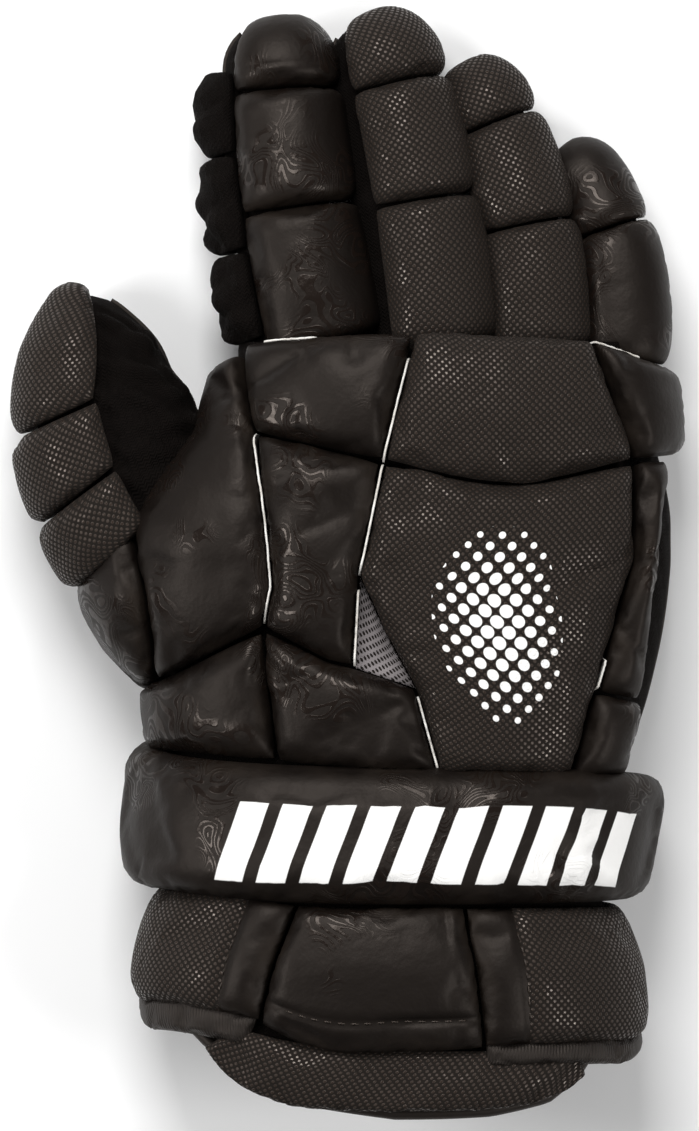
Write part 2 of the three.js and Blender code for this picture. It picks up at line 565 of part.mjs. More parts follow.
// Everything on the fingertip side of the cuff's open edge is kept.
function mouthCut() {
  const far = 1.2 * handWidth;
  const edge = mouthEdge.map((row) => new THREE.Vector2(row.across * handWidth, row.along * gloveLength));
  const geometry = prism([
    new THREE.Vector2(-far, -handWidth), new THREE.Vector2(far, -handWidth),
    new THREE.Vector2(far, edge[edge.length - 1].y), ...edge.reverse(), new THREE.Vector2(-far, edge[edge.length - 1].y),
  ]);
  geometry.applyMatrix4(new THREE.Matrix4().makeShear(0, 0, 0, 0, 0, -mouthSlope));
  geometry.translate(0, mouthSlope * handHeight, 0);
  return extruded(geometry);
}

// The space under the seam between palm and backing, which drops with the fingers.
const seamDrop = [
  { along: -0.2, share: 1.25 },
  { along: 0.12, share: 1.2 },
  { along: 0.4, share: 1 },
  { along: 0.72, share: 0.92 },
  { along: 0.86, share: 0.7 },
  { along: 1.1, share: 0.5 },
];
function underSeam(lift) {
  const floorline = -2 * handHeight;
  const line = seamDrop.map((row) => new THREE.Vector2(row.along * gloveLength, row.share * palmEdge + lift));
  const first = line[0];
  const last = line[line.length - 1];
  const shape = new THREE.Shape([new THREE.Vector2(first.x, floorline), new THREE.Vector2(last.x, floorline), ...line.reverse()]);
  const geometry = new THREE.ExtrudeGeometry(shape, { depth: 4 * handWidth, bevelEnabled: false });
  geometry.rotateX(Math.PI / 2);
  geometry.rotateZ(Math.PI / 2);
  geometry.translate(-2 * handWidth, 0, 0);
  return extruded(geometry);
}

const far = 2 * gloveLength;
const below = (height) => boxSolid(new THREE.Vector3(-far, -far, -far), new THREE.Vector3(far, far, height));
const outer = skin(0, skinFacets, skinPlaces, 0).subtract(below(0));
const room = skin(-shellWall, roomFacets, roomPlaces, gloveLength / 10).subtract(below(shellWall));
const shell = outer.subtract(room).subtract(mouthCut());
const keepOut = skin(seatGap, skinFacets, skinPlaces, 0).add(below(seatGap));

// The column over one tube of the skin, from a place on it to past its tip.
function column(surface, from, places, margin) {
  const stops = [from, ...places.filter((at) => at > from)];
  const side = (turn) => stops.map((at) => standOff(surface, turn, at, margin));
  const left = side(-90);
  const right = side(90);
  const past = (p) => p.clone().setY(p.y + fingerWidth / 4);
  const outline = [...right, past(right[right.length - 1]), past(left[left.length - 1]), ...left.reverse()];
  return extruded(prism(outline.map((p) => new THREE.Vector2(p.x, p.y))));
}

// The zones of the shell that are sewn to its hand, grown by a distance.
function zones(grow) {
  const margin = 2 * seatGap + grow;
  const fingertips = boxSolid(new THREE.Vector3(-far, fingerSeam * gloveLength - grow, -far), new THREE.Vector3(far, far, far));
  const thumb = column(thumbSurface, thumbSeam - grow / fingerWidth, skinPlaces.thumb, margin);
  const digits = fingerSurfaces.map((surface) => column(surface, 0, skinPlaces.finger, margin).intersect(fingertips));
  const cuff = boxSolid(new THREE.Vector3(-far, -far, -far), new THREE.Vector3(far, cuffSeam * gloveLength + grow, far));
  return [cuff, thumb, ...digits];
}

// A pad is cut to the shell, and to the pads already placed, and then keeps its clearance to them.
const placed = [];
function fitted(make) {
  let solid = make(0).subtract(keepOut);
  const reach = solid.boundingBox();
  for (const other of placed) {
    const box = other.boundingBox();
    const apart = [0, 1, 2].some((k) => box.min[k] > reach.max[k] || box.max[k] < reach.min[k]);
    if (!apart) solid = solid.subtract(other);
  }
  const kept = biggest(solid);
  placed.push(make(seatGap), kept);
  return kept;
}

function piece(group, name, solid, finish) {
  const mesh = solid.getMesh();
  const geometry = new THREE.BufferGeometry();
  geometry.setAttribute("position", new THREE.BufferAttribute(new Float32Array(mesh.vertProperties), 3));
  geometry.setIndex(new THREE.BufferAttribute(new Uint32Array(mesh.triVerts), 1));
  geometry.computeVertexNormals();
  geometry.computeBoundingBox();
  const centre = geometry.boundingBox.getCenter(new THREE.Vector3());
  geometry.translate(-centre.x, -centre.y, -centre.z);
  const node = new THREE.Mesh(geometry, finishes[finish]);
  node.name = name;
  node.position.copy(centre);
  group.add(node);
}

const glove = new THREE.Group();
const section = () => {
  const group = new THREE.Group();
  glove.add(group);
  return group;
};

// The shell, hand first, each zone clear of those before it
const shellGroup = section();
const zoneNames = ["cuff", "thumb", ...fingers.map((finger) => finger.name)];
const tight = zones(0);
const wide = zones(seatGap);
for (const [half, name, finish] of [
  [shell.intersect(underSeam(0)), "palm", "palm"],
  [shell.subtract(underSeam(seatGap)), "backing", "knit"],
]) {
  piece(shellGroup, name, biggest(wide.reduce((rest, zone) => rest.subtract(zone), half)), finish);
  zoneNames.forEach((zone, n) => {
    const own = wide.slice(0, n).reduce((rest, other) => rest.subtract(other), half.intersect(tight[n]));
    piece(shellGroup, `${zone}_${name}`, biggest(own), finish);
  });
}

// The back of the hand
const backGroup = section();
for (const pad of backPads) {
  piece(backGroup, pad.name, fitted((grow) => patchPad({
    surface: handSurface, place: seamedPatch(pad), thickness: (turn) => backPadThickness * thinned(turn, padSideShare),
    shoulder: padShoulder, crown: padCrown, gap: seamGap, grow,
  })), pad.finish);
}

// The wrist and cuff
const cuffGroup = section();
function edgeAlong(pad, edge, a, curve) {
  const start = pad[`${edge}Thumb`];
  const middle = pad[`${edge}Middle`];
  const end = pad[`${edge}Little`];
  return lerp(middle, a < 0 ? start : end, Math.abs(a) ** curve) * gloveLength;
}
for (const pad of wristPads) {
  const { thickness, side, shoulder } = wristPadSizes[pad.name] ?? cuffPanelSize;
  const place = (a, b) => {
    const high = (b + 1) / 2;
    const from = lerp(pad.lowFrom, pad.highFrom, high);
    const to = lerp(pad.lowTo, pad.highTo, high);
    return [
      lerp(from, to, (a + 1) / 2),
      lerp(edgeAlong(pad, "low", a, pad.lowCurve), edgeAlong(pad, "high", a, 2), high),
    ];
  };
  piece(cuffGroup, pad.name, fitted((grow) => patchPad({
    surface: handSurface, place, thickness: (turn) => thickness * thinned(turn, side), shoulder,
    crown: 0, gap: seamGap, grow,
  })), pad.finish);
}

// The mesh gusset shows between three back pads
piece(shellGroup, "mesh_gusset", fitted((grow) => patchPad({
  surface: handSurface, place: seamedPatch(gusset), thickness: () => meshThickness,
  shoulder: meshThickness, crown: 0, gap: 0, grow,
})), "mesh");

// The fingers
const fingerFinish = { index: "leather", middle: "weave", ring: "weave", little: "leather" };
function fingerPad(surface, from, to, turnFrom, turnTo, top, side, shoulder, grow) {
  const middle = (turnFrom + turnTo) / 2;
  const spread = (turnTo - turnFrom) / 2;
  return patchPad({
    surface,
    place: (a, b) => [middle + spread * a, lerp(from, to, (b + 1) / 2)],
    thickness: (turn, at) => lerp(side, top, Math.max(0, Math.cos(degToRad(turn - middle)))) *
      (1 - tipThinning * surface.closing(at)),
    shoulder, crown: 0, gap: creaseGap, grow,
  });
}
fingers.forEach((finger, n) => {
  const group = section();
  const surface = fingerSurfaces[n];
  const stops = [0.015, ...finger.creases, 0.985];
  const names = stops.length === 4 ? ["base", "middle", "tip"] : ["base", "tip"];
  names.forEach((part, i) => {
    piece(group, `${finger.name}_${part}_pad`, fitted((grow) => fingerPad(
      surface, stops[i], stops[i + 1], finger.padFrom, finger.padTo,
      fingerPadThickness * finger.girth, fingerSideThickness, padShoulder, grow)), fingerFinish[finger.name]);
  });
  if (n === 0) {
    for (const puff of puffs) {
      piece(group, puff.name, fitted((grow) => fingerPad(
        surface, puff.from, puff.to, -142, finger.padFrom, puffThickness, puffThickness / 2, 1.4 * padShoulder, grow)), "knit");
    }
  }
});

// The thumb
const thumbGroup = section();
for (const pad of thumbPads) {
  piece(thumbGroup, pad.name, fitted((grow) => fingerPad(
    thumbSurface, pad.from, pad.to, thumbPadFrom, thumbPadTo,
    thumbPadThickness, thumbPadThickness * 0.6, padShoulder, grow)), "weave");
}

// The origin is under the middle of the glove, on the surface that it lies on.
const reach = new THREE.Box3().setFromObject(glove);
glove.position.set(-(reach.min.x + reach.max.x) / 2, -(reach.min.y + reach.max.y) / 2, -reach.min.z);

export default glove;
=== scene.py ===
"""The looks of a right-hand lacrosse glove, laid palm down with its padded back up.

Lengths in this file are millimetres in the glove's own drawing: X = 0 on the middle of the cuff,
Y = 0 at the skirt's edge, Z = 0 on the table. They become metres in the frame when a mesh is made.
"""
import math

import bmesh
import bpy
import numpy as np
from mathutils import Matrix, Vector


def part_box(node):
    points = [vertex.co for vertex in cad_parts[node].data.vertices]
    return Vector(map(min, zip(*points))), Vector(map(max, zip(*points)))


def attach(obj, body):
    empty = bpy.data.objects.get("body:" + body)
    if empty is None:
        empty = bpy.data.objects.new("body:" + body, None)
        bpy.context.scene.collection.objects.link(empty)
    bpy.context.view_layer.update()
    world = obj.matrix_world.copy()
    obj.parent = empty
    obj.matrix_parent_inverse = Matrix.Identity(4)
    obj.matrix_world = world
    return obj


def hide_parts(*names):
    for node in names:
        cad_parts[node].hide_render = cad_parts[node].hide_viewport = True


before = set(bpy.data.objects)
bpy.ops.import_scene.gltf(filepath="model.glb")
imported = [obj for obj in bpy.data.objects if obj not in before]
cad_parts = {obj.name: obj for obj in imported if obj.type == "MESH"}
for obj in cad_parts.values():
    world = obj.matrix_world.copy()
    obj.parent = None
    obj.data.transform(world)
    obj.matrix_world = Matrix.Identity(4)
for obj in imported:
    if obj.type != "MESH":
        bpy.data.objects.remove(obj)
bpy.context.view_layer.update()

bl_info = {
    "name": "Lacrosse Glove",
    "version": (1, 0, 0),
    "blender": (4, 5, 0),
    "location": "3D View > Sidebar > Glove",
    "description": "Covers a padded lacrosse glove in leather, coated weave and knit",
    "category": "Add Mesh",
}

MM = 0.001

# ---------------------------------------------------------------- drawing sizes
LENGTH, HAND_WIDTH, HAND_HEIGHT = 330.0, 142.0, 54.0
FINGER_WIDTH, FINGER_HEIGHT = 31.0, 26.0
THUMB_WIDTH, THUMB_HEIGHT = 44.0, 31.0
PALM_EDGE = 18.0
BOXINESS, WRAP_ANGLE = 0.85, 90.0
DOME_START = 0.87
THUMB_DOME, THUMB_TIP = 3.0, 5.0
CUFF_SEAM = 0.3
MOUTH_SLOPE = 0.45
TIP_THINNING = 0.35
# The share of its thickness that a pad keeps where it turns down the side of the hand
SIDE_SHARE = 0.68
# How far a pad's edge and its underside stand off the shell
SEAT = 0.35
FOOT = SEAT + 0.1
# How thick the shell is, and how deep the sewn channels in the palm are
WALL, CHANNEL = 2.2, 1.0
# How far from a cuff panel's edge its stitching runs: at the side and at the foot
STRIP, HEM = 10.5, 9.0
CLOTH_FRAMES = 20
# One pixel of the photograph, measured on the glove
PIXEL = 0.298

# along, thumb edge, little edge, ridge, top, waist, under
HAND = np.array([
    (0.0, -0.49, 0.485, 0.0, 1.24, 0.62, -0.03),
    (0.06, -0.5, 0.49, 0.0, 1.25, 0.62, -0.03),
    (0.12, -0.51, 0.48, 0.0, 1.25, 0.6, -0.03),
    (0.16, -0.49, 0.45, 0.0, 1.21, 0.58, -0.03),
    (0.2, -0.465, 0.435, 0.0, 1.16, 0.56, -0.03),
    (0.25, -0.475, 0.45, 0.01, 1.1, 0.52, -0.03),
    (0.305, -0.465, 0.48, 0.02, 1.05, 0.46, -0.03),
    (0.38, -0.475, 0.535, 0.04, 1.03, 0.42, -0.03),
    (0.44, -0.565, 0.565, 0.06, 1.02, 0.4, -0.03),
    (0.472, -0.6, 0.575, 0.075, 1.01, 0.4, -0.03),
    (0.5, -0.6, 0.58, 0.085, 1.0, 0.4, -0.03),
    (0.53, -0.545, 0.58, 0.09, 1.0, 0.4, -0.03),
    (0.565, -0.455, 0.57, 0.1, 1.0, 0.4, -0.02),
    (0.61, -0.37, 0.545, 0.1, 0.98, 0.41, 0.02),
    (0.66, -0.335, 0.535, 0.1, 0.93, 0.43, 0.1),
    (0.71, -0.325, 0.52, 0.1, 0.84, 0.46, 0.18),
])
# across, along
MOUTH = np.array([
    (-0.62, 0.135), (-0.54, 0.125), (-0.48, 0.096), (-0.4, 0.07), (-0.32, 0.048), (-0.2, 0.029), (0.0, 0.018),
    (0.2, 0.018), (0.32, 0.024), (0.38, 0.04), (0.42, 0.062), (0.5, 0.09), (0.6, 0.105),
])
# along, share of the palm edge's height
SEAM_DROP = np.array([(-0.2, 1.25), (0.12, 1.2), (0.4, 1.0), (0.72, 0.92), (0.86, 0.7), (1.1, 0.5)])
# root and tip (across, along), bow, girth, lift, degrees that the pads wrap, creases
FINGERS = {
    "index": ((-0.19, 0.7), (-0.27, 0.985), -0.09, 0.97, 0.0, (-38, 106), (0.4, 0.775)),
    "middle": ((0.05, 0.7), (-0.073, 0.986), 0.06, 0.97, 0.08, (-25, 100), (0.41, 0.775)),
    "ring": ((0.293, 0.697), (0.142, 0.945), 0.17, 0.74, 0.04, (-65, 98), (0.395, 0.765)),
    "little": ((0.475, 0.688), (0.352, 0.868), 0.2, 0.62, -0.06, (-66, 104), (0.565,)),
}
# share, under, tall, wide
FINGER = np.array([
    (-0.2, 0.44, 1, 1), (0.0, 0.41, 1, 1), (0.4, 0.28, 0.97, 0.97), (0.75, 0.06, 0.92, 0.9),
    (0.87, -0.02, 0.88, 0.84), (1.0, -0.02, 0.84, 0.78),
])
PUFFS = {"base": (0.02, 0.295), "middle": (0.295, 0.59), "tip": (0.59, 0.85)}
# station, across, along, heading, outer, inner, half height, height
THUMB = np.array([
    (-1, -0.43, 0.5, 50, 0.48, 0.48, 0.56, 0.46),
    (0, -0.51, 0.53, 42, 0.52, 0.58, 0.56, 0.44),
    (1, -0.578, 0.583, 40, 0.53, 0.66, 0.54, 0.42),
    (2, -0.615, 0.642, 28, 0.49, 0.5, 0.5, 0.38),
    (3, -0.618, 0.688, 12, 0.385, 0.36, 0.42, 0.34),
    (4, -0.63, 0.719, 4, 0.22, 0.22, 0.32, 0.3),
    (4.7, -0.64, 0.733, 0, 0.13, 0.13, 0.19, 0.29),
    (5, -0.645, 0.738, 0, 0.02, 0.02, 0.03, 0.28),
])
THUMB_PADS = {"thumb_base_roll": (0.0, 1.0), "thumb_middle_roll": (1.0, 2.0), "thumb_tip_pad": (2.0, 4.9)}
THUMB_WRAP = (-136, 0)

# Where the seams of the back meet: across, along
SEAMS = {
    "knuckleThumb": (-0.292, 0.692), "knuckleIndex": (0.044, 0.697), "knuckleRing": (0.399, 0.692),
    "knuckleWrap": (0.6, 0.662), "rowThumb": (-0.275, 0.608), "rowIndex": (-0.022, 0.584),
    "rowMiddle": (0.24, 0.566), "rowRing": (0.48, 0.584), "rowWrap": (0.625, 0.592),
    "webTopThumb": (-0.39, 0.662), "webTopIndex": (-0.3, 0.683), "webNotch": (-0.41, 0.589),
    "webSide": (-0.252, 0.472), "webFoot": (-0.268, 0.437), "creaseTop": (-0.53, 0.522),
    "creaseFoot": (-0.472, 0.394), "mound": (-0.68, 0.505), "moundLow": (-0.72, 0.443),
    "rootTop": (-0.6, 0.372), "rootFoot": (-0.58, 0.331), "wristFoot": (-0.237, 0.313),
    "indexLow": (-0.14, 0.407), "indexFoot": (-0.082, 0.4), "backElbow": (-0.073, 0.482),
    "backBend": (-0.02, 0.432), "backNotch": (0.042, 0.382), "backFootThumb": (0.09, 0.303),
    "backRing": (0.478, 0.497), "backLow": (0.399, 0.38), "backFootLittle": (0.346, 0.301),
    "sideTop": (0.545, 0.584), "sideLow": (0.49, 0.372), "sideFoot": (0.445, 0.301),
}
# finish, the seams along the high and the low edge, then what the thumb and the little edge pass
# between the corners
BACK_PADS = {
    "knuckle_index_pad": ("leather", "knuckleThumb knuckleIndex", "rowThumb rowIndex"),
    "knuckle_pad": ("weave", "knuckleIndex knuckleRing", "rowIndex rowMiddle rowRing"),
    "knuckle_side_pad": ("leather", "knuckleRing knuckleWrap", "rowRing rowWrap"),
    "web_pad": ("leather", "webTopThumb webTopIndex", "creaseFoot webFoot", "creaseTop webNotch", "webSide rowThumb"),
    "thumb_mound_pad": ("leather", "mound creaseTop", "rootTop creaseFoot", "moundLow"),
    "index_back_pad": ("leather", "rowThumb rowIndex", "webFoot indexLow indexFoot", "webSide", "backElbow"),
    "centre_back_pad": ("centre", "rowIndex rowMiddle rowRing", "backFootThumb backFootLittle",
                        "backNotch backBend backElbow", "backLow backRing"),
    "side_back_pad": ("leather", "rowRing sideTop", "backLow sideLow", "backRing"),
    "side_wrist_pad": ("leather", "backLow sideLow", "backFootLittle sideFoot"),
    "thumb_root_pad": ("leather", "rootTop creaseFoot webFoot", "rootFoot wristFoot"),
    "wrist_pad": ("leather", "webFoot indexLow indexFoot backNotch", "wristFoot backFootThumb"),
}
GUSSET = ("backElbow backBend", "indexFoot backNotch")
# finish, degrees at the low and at the high edge, the low and the high edge's place along (thumb
# side, middle, little side), how squarely the low edge turns
WRIST_PADS = {
    "wrist_roll": ("roll", (-122, 120), (-122, 120), (0.226, 0.183, 0.19), (0.352, 0.311, 0.309), 2),
    "cuff_thumb_panel": ("weave", (-112, -29), (-118, -21), (0.134, 0.099, 0.083), (0.222, 0.199, 0.185), 2),
    "cuff_centre_panel": ("leather", (-29, 18), (-21, 15), (0.081, 0.055, 0.059), (0.185, 0.183, 0.183), 2),
    "cuff_little_panel": ("weave", (18, 108), (15, 116), (0.06, 0.064, 0.1), (0.183, 0.183, 0.189), 2),
    "cuff_thumb_binding": ("binding", (-108, -34), (-112, -29), (0.111, 0.073, 0.061), (0.134, 0.099, 0.083), 2),
    "cuff_little_binding": ("binding", (19, 104), (18, 108), (0.042, 0.043, 0.075), (0.06, 0.064, 0.1), 2),
    "cuff_skirt": ("weave", (-49, 50), (-36, 47), (0.06, 0.002, 0.034), (0.068, 0.048, 0.043), 3),
}

# The widest place of the hand and the cuff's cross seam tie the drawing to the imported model.
_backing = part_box("backing")
ORIGIN = np.array([
    _backing[1].x / MM - HAND[:, 2].max() * HAND_WIDTH,
    _backing[0].y / MM - CUFF_SEAM * LENGTH - SEAT,
    0.0,
])


# ---------------------------------------------------------------- curves and surfaces
def read(table, place):
    """Every column of a table at any place between its rows.

    A cubic runs through the rows; its slope at a row is the harmonic mean of the slopes before and
    after it, or level where they differ in sign, so it never overshoots.
    """
    at, value = table[:, 0], table[:, 1:]
    step = np.diff(at)
    slope = np.diff(value, axis=0) / step[:, None]
    before, after = np.vstack([slope[:1], slope]), np.vstack([slope, slope[-1:]])
    same = before * after > 0
    tangent = np.where(same, 2 * before * after / np.where(same, before + after, 1), 0)
    place = np.clip(place, at[0], at[-1])
    i = np.clip(np.searchsorted(at, place, side="right") - 1, 0, len(step) - 1)
    t = ((place - at[i]) / step[i])[..., None]
    curve = (value[i] * (1 + 2 * t) * (1 - t) ** 2 + value[i + 1] * t * t * (3 - 2 * t)
             + step[i][..., None] * t * (1 - t) * (tangent[i] * (1 - t) - tangent[i + 1] * t))
    return np.moveaxis(curve, -1, 0)


def lerp(a, b, t):
    return a + (b - a) * t


def squared(value):
    """A sine or cosine drawn towards its ends, which makes an ellipse squarer."""
    return np.sign(value) * np.abs(value) ** BOXINESS


def sides(turn):
    """How far out to the side and how far up a turn is, each from -1 to 1."""
    angle = np.radians(turn)
    return squared(np.sin(angle)), squared(np.cos(angle))


class Surface:
    """A tube that pads lie on: point(turn, place) in millimetres, turn 0 on top, + to the little finger."""

    def __init__(self, point, step, closing, band):
        self.point, self.step, self.closing, self.band = point, step, closing, band

    def seam_turn(self, at):
        """The turn at which the side seam runs, between the palm and the back. The squared cosine
        there is the seam's height over the tube's middle, as a share of its half height; band(at)
        gives those two."""
        middle, reach = self.band(at)
        y = self.point(np.zeros_like(at), at)[..., 1]
        height = PALM_EDGE * np.interp(y / LENGTH, SEAM_DROP[:, 0], SEAM_DROP[:, 1])
        share = np.clip((height - middle) / np.maximum(reach, 5.0), -0.96, 0.96)
        return np.degrees(np.arccos(np.sign(share) * np.abs(share) ** (1 / BOXINESS)))

    def off(self, turn, at, height):
        """The point that stands off the tube by a height along its normal, which is the cross
        product of the differences across and along."""
        across = self.point(turn + 0.5, at) - self.point(turn - 0.5, at)
        along = self.point(turn, at + self.step) - self.point(turn, at - self.step)
        normal = np.cross(across, along)
        length = np.linalg.norm(normal, axis=-1, keepdims=True)
        return self.point(turn, at) + normal / np.maximum(length, 1e-9) * np.asarray(height)[..., None]


def hand_point(turn, y):
    """Half ellipses, squared up, from the waist to the top and to the underside of the hand."""
    thumb, little, ridge, top, waist, under = read(HAND, y / LENGTH)
    side, rise = sides(turn)
    x = lerp(ridge, np.where(side < 0, thumb, little), np.abs(side)) * HAND_WIDTH
    z = lerp(waist, np.where(rise < 0, under, top), np.abs(rise)) * HAND_HEIGHT
    return np.stack([x, y + 0 * x, z], -1)


def finger_tube(name):
    """An ellipse, squared up, carried along a bowed line in plan and closed by a round dome."""
    root, tip, bow, girth, lift = FINGERS[name][:5]
    root, tip = (np.array(p) * (HAND_WIDTH, LENGTH) for p in (root, tip))
    reach = tip - root
    length = np.hypot(*reach)
    ahead = reach / length
    aside = np.array([ahead[1], -ahead[0]])

    def closing(share):
        return np.maximum(0, (share - DOME_START) / (1 - DOME_START))

    def band(share):
        under, tall, _ = read(FINGER, share)
        tall = tall * lerp(1, girth, 0.5)
        return (under + tall / 2 + lift * (1 - np.maximum(0, share))) * FINGER_HEIGHT, FINGER_HEIGHT / 2 * tall

    def point(turn, share):
        turn, share = np.broadcast_arrays(turn, share)
        wide = read(FINGER, share)[2]
        middle, reach_up = band(share)
        dome = np.sqrt(np.maximum(0, 1 - closing(share) ** 2))
        bend = 4 * bow * FINGER_WIDTH * share * (1 - share)
        slope = 4 * bow * FINGER_WIDTH * (1 - 2 * share) / length
        forward = ahead + slope[..., None] * aside
        forward = forward / np.linalg.norm(forward, axis=-1, keepdims=True)
        side, rise = sides(turn)
        side = side * FINGER_WIDTH / 2 * wide * girth * dome
        plan = root + share[..., None] * reach + bend[..., None] * aside
        return np.stack([
            plan[..., 0] + side * forward[..., 1],
            plan[..., 1] - side * forward[..., 0],
            middle + rise * reach_up * dome,
        ], -1)

    return Surface(point, 0.004, closing, band)


def thumb_point(turn, station):
    """An ellipse, squared up, whose plane turns with the thumb."""
    across, along, heading, outer, inner, half, height = read(THUMB, station)
    side, rise = sides(turn)
    side = side * np.where(side < 0, outer, inner) * THUMB_WIDTH
    heading = np.radians(heading)
    return np.stack([
        across * HAND_WIDTH + side * np.cos(heading),
        along * LENGTH + side * np.sin(heading),
        height * HAND_HEIGHT + rise * half * THUMB_HEIGHT,
    ], -1)


def hand_band(y):
    waist, under = read(HAND, y / LENGTH)[4:6]
    return waist * HAND_HEIGHT, (waist - under) * HAND_HEIGHT


def thumb_band(station):
    half, height = read(THUMB, station)[5:7]
    return height * HAND_HEIGHT, half * THUMB_HEIGHT


def thumb_closing(station):
    return np.maximum(0, (station - THUMB_DOME) / (THUMB_TIP - THUMB_DOME))


HAND_TUBE = Surface(hand_point, 0.5, np.zeros_like, hand_band)
THUMB_TUBE = Surface(thumb_point, 0.02, thumb_closing, thumb_band)
FINGER_TUBES = {name: finger_tube(name) for name in FINGERS}


def turn_at(x, y):
    """The turn at which a place seen from above lies on the hand: past the silhouette, each further
    half width is WRAP_ANGLE degrees."""
    thumb, little, ridge = read(HAND, y / LENGTH)[:3]
    offset = x / HAND_WIDTH - ridge
    share = np.abs(offset) / np.where(offset < 0, ridge - thumb, little - ridge)
    inside = np.degrees(np.arcsin(np.minimum(share, 1) ** (1 / BOXINESS)))
    return np.sign(offset) * np.where(share <= 1, inside, 90 + (share - 1) * WRAP_ANGLE)


def steps_of(line):
    """The lengths of a broken line's straight parts."""
    return np.linalg.norm(np.diff(line, axis=0), axis=1)


def run_of(line):
    """How far along a broken line each of its points is."""
    return np.concatenate([[0], np.cumsum(steps_of(line))])


def along_line(line, share):
    """The point at a share of a broken line's length."""
    run = run_of(line)
    return np.stack([np.interp(share * run[-1], run, line[:, k]) for k in range(line.shape[1])], -1)


def curved(line):
    """A smooth line through a few places in plan, by the tables' cubic on its running length."""
    line = np.array(line, float)
    run = run_of(line)
    return read(np.column_stack([run, line]), np.linspace(0, run[-1], 40)).T


def seam_line(names):
    """A seam in plan through the named places: a broken line, or a curve across the knuckles."""
    line = np.array([SEAMS[name] for name in names.split()]) * (HAND_WIDTH, LENGTH)
    return curved(line) if names == "rowIndex rowMiddle rowRing" else line


def seamed(high, low, thumb="", little=""):
    """Fills the plan between four seams: the blend of the high and low edge, plus that of the side
    edges, less that of the four corners. The side edges are named without their corners."""
    names, feet = high.split(), low.split()
    thumb = seam_line(f"{feet[0]} {thumb} {names[0]}")
    little = seam_line(f"{feet[-1]} {little} {names[-1]}")
    high, low = seam_line(high), seam_line(low)

    def place(a, b):
        u, v = (a + 1) / 2, (b + 1) / 2
        rows = lerp(along_line(low, u), along_line(high, u), v[..., None])
        columns = lerp(along_line(thumb, v), along_line(little, v), u[..., None])
        corners = lerp(lerp(low[0], low[-1], u[..., None]), lerp(high[0], high[-1], u[..., None]), v[..., None])
        plan = rows + columns - corners
        return turn_at(plan[..., 0], plan[..., 1]), plan[..., 1]

    return place


def wrapped(low_turn, high_turn, low, high, curve):
    """A band round the wrist: turn runs between two limits, place between two curved edges."""
    def edge(ends, a, power):
        return lerp(ends[1], np.where(a < 0, ends[0], ends[2]), np.abs(a) ** power) * LENGTH

    def place(a, b):
        v = (b + 1) / 2
        turn = lerp(lerp(low_turn[0], high_turn[0], v), lerp(low_turn[1], high_turn[1], v), (a + 1) / 2)
        return turn, lerp(edge(low, a, curve), edge(high, a, 2), v)

    return place


def banded(turns, ends):
    """A band of a finger or thumb between two turns and two places."""
    def place(a, b):
        return lerp(turns[0], turns[1], (a + 1) / 2) + 0 * b, lerp(ends[0], ends[1], (b + 1) / 2)

    return place


# ---------------------------------------------------------------- meshes
def folds(points, spacing, seed):
    """Crumpled cloth, from about -1 in a fold's valley to 1 on its ridge: the mean of four |sine|
    waves in seeded directions, each bent by a slower wave."""
    draw = np.random.default_rng(seed)
    height = 0
    for _ in range(4):
        ahead = draw.normal(size=3)
        ahead *= math.pi / spacing / np.linalg.norm(ahead)
        bend = draw.normal(size=3) / (2.5 * spacing)
        phase, slow = draw.uniform(0, math.tau, 2)
        height = height + np.abs(np.sin(points @ ahead + phase + 1.3 * np.sin(points @ bend + slow)))
    return (height / 4 - 0.62) * 3


def piece(name, points, faces, materials, uv=None, material_index=None, rim=None, merged=False):
    """A smooth mesh object from points in drawing millimetres, at the frame's origin."""
    mesh = bpy.data.meshes.new(name)
    mesh.from_pydata(((np.asarray(points) + ORIGIN) * MM).tolist(), [], faces)
    for material in materials:
        mesh.materials.append(material)
    mesh.polygons.foreach_set("use_smooth", np.ones(len(mesh.polygons), bool))
    if material_index is not None:
        mesh.polygons.foreach_set("material_index", np.asarray(material_index, np.int32))
    if uv is not None:
        layer = mesh.uv_layers.new(name="cloth")
        corner = np.zeros(len(mesh.loops), np.int32)
        mesh.loops.foreach_get("vertex_index", corner)
        layer.uv.foreach_set("vector", (np.asarray(uv)[corner] * MM).astype(np.float32).ravel())
    if rim is not None:
        mesh.attributes.new("rim", "FLOAT", "POINT").data.foreach_set("value", np.asarray(rim, np.float32))
    if merged:
        work = bmesh.new()
        work.from_mesh(mesh)
        bmesh.ops.remove_doubles(work, verts=work.verts, dist=0.00001)
        bmesh.ops.dissolve_degenerate(work, edges=work.edges, dist=0.000001)
        work.to_mesh(mesh)
        work.free()
    mesh.update()
    made = bpy.data.objects.new(name, mesh)
    bpy.context.scene.collection.objects.link(made)
    return made


def grid_faces(rows, columns, start=0, flip=False):
    """Quads over a grid of rows and columns of points, facing up where columns run along +X and
    rows along +Y."""
    r, c = np.mgrid[0:rows - 1, 0:columns - 1]
    a = start + r * columns + c
    quads = np.stack([a, a + 1, a + columns + 1, a + columns], -1).reshape(-1, 4)
    return (quads[:, ::-1] if flip else quads).tolist()


def rim_of(rows, columns):
    """A grid's border points, round it the way that its faces turn."""
    index = np.arange(rows * columns).reshape(rows, columns)
    return np.concatenate([index[0, :-1], index[:-1, -1], index[-1, :0:-1], index[:0:-1, 0]])


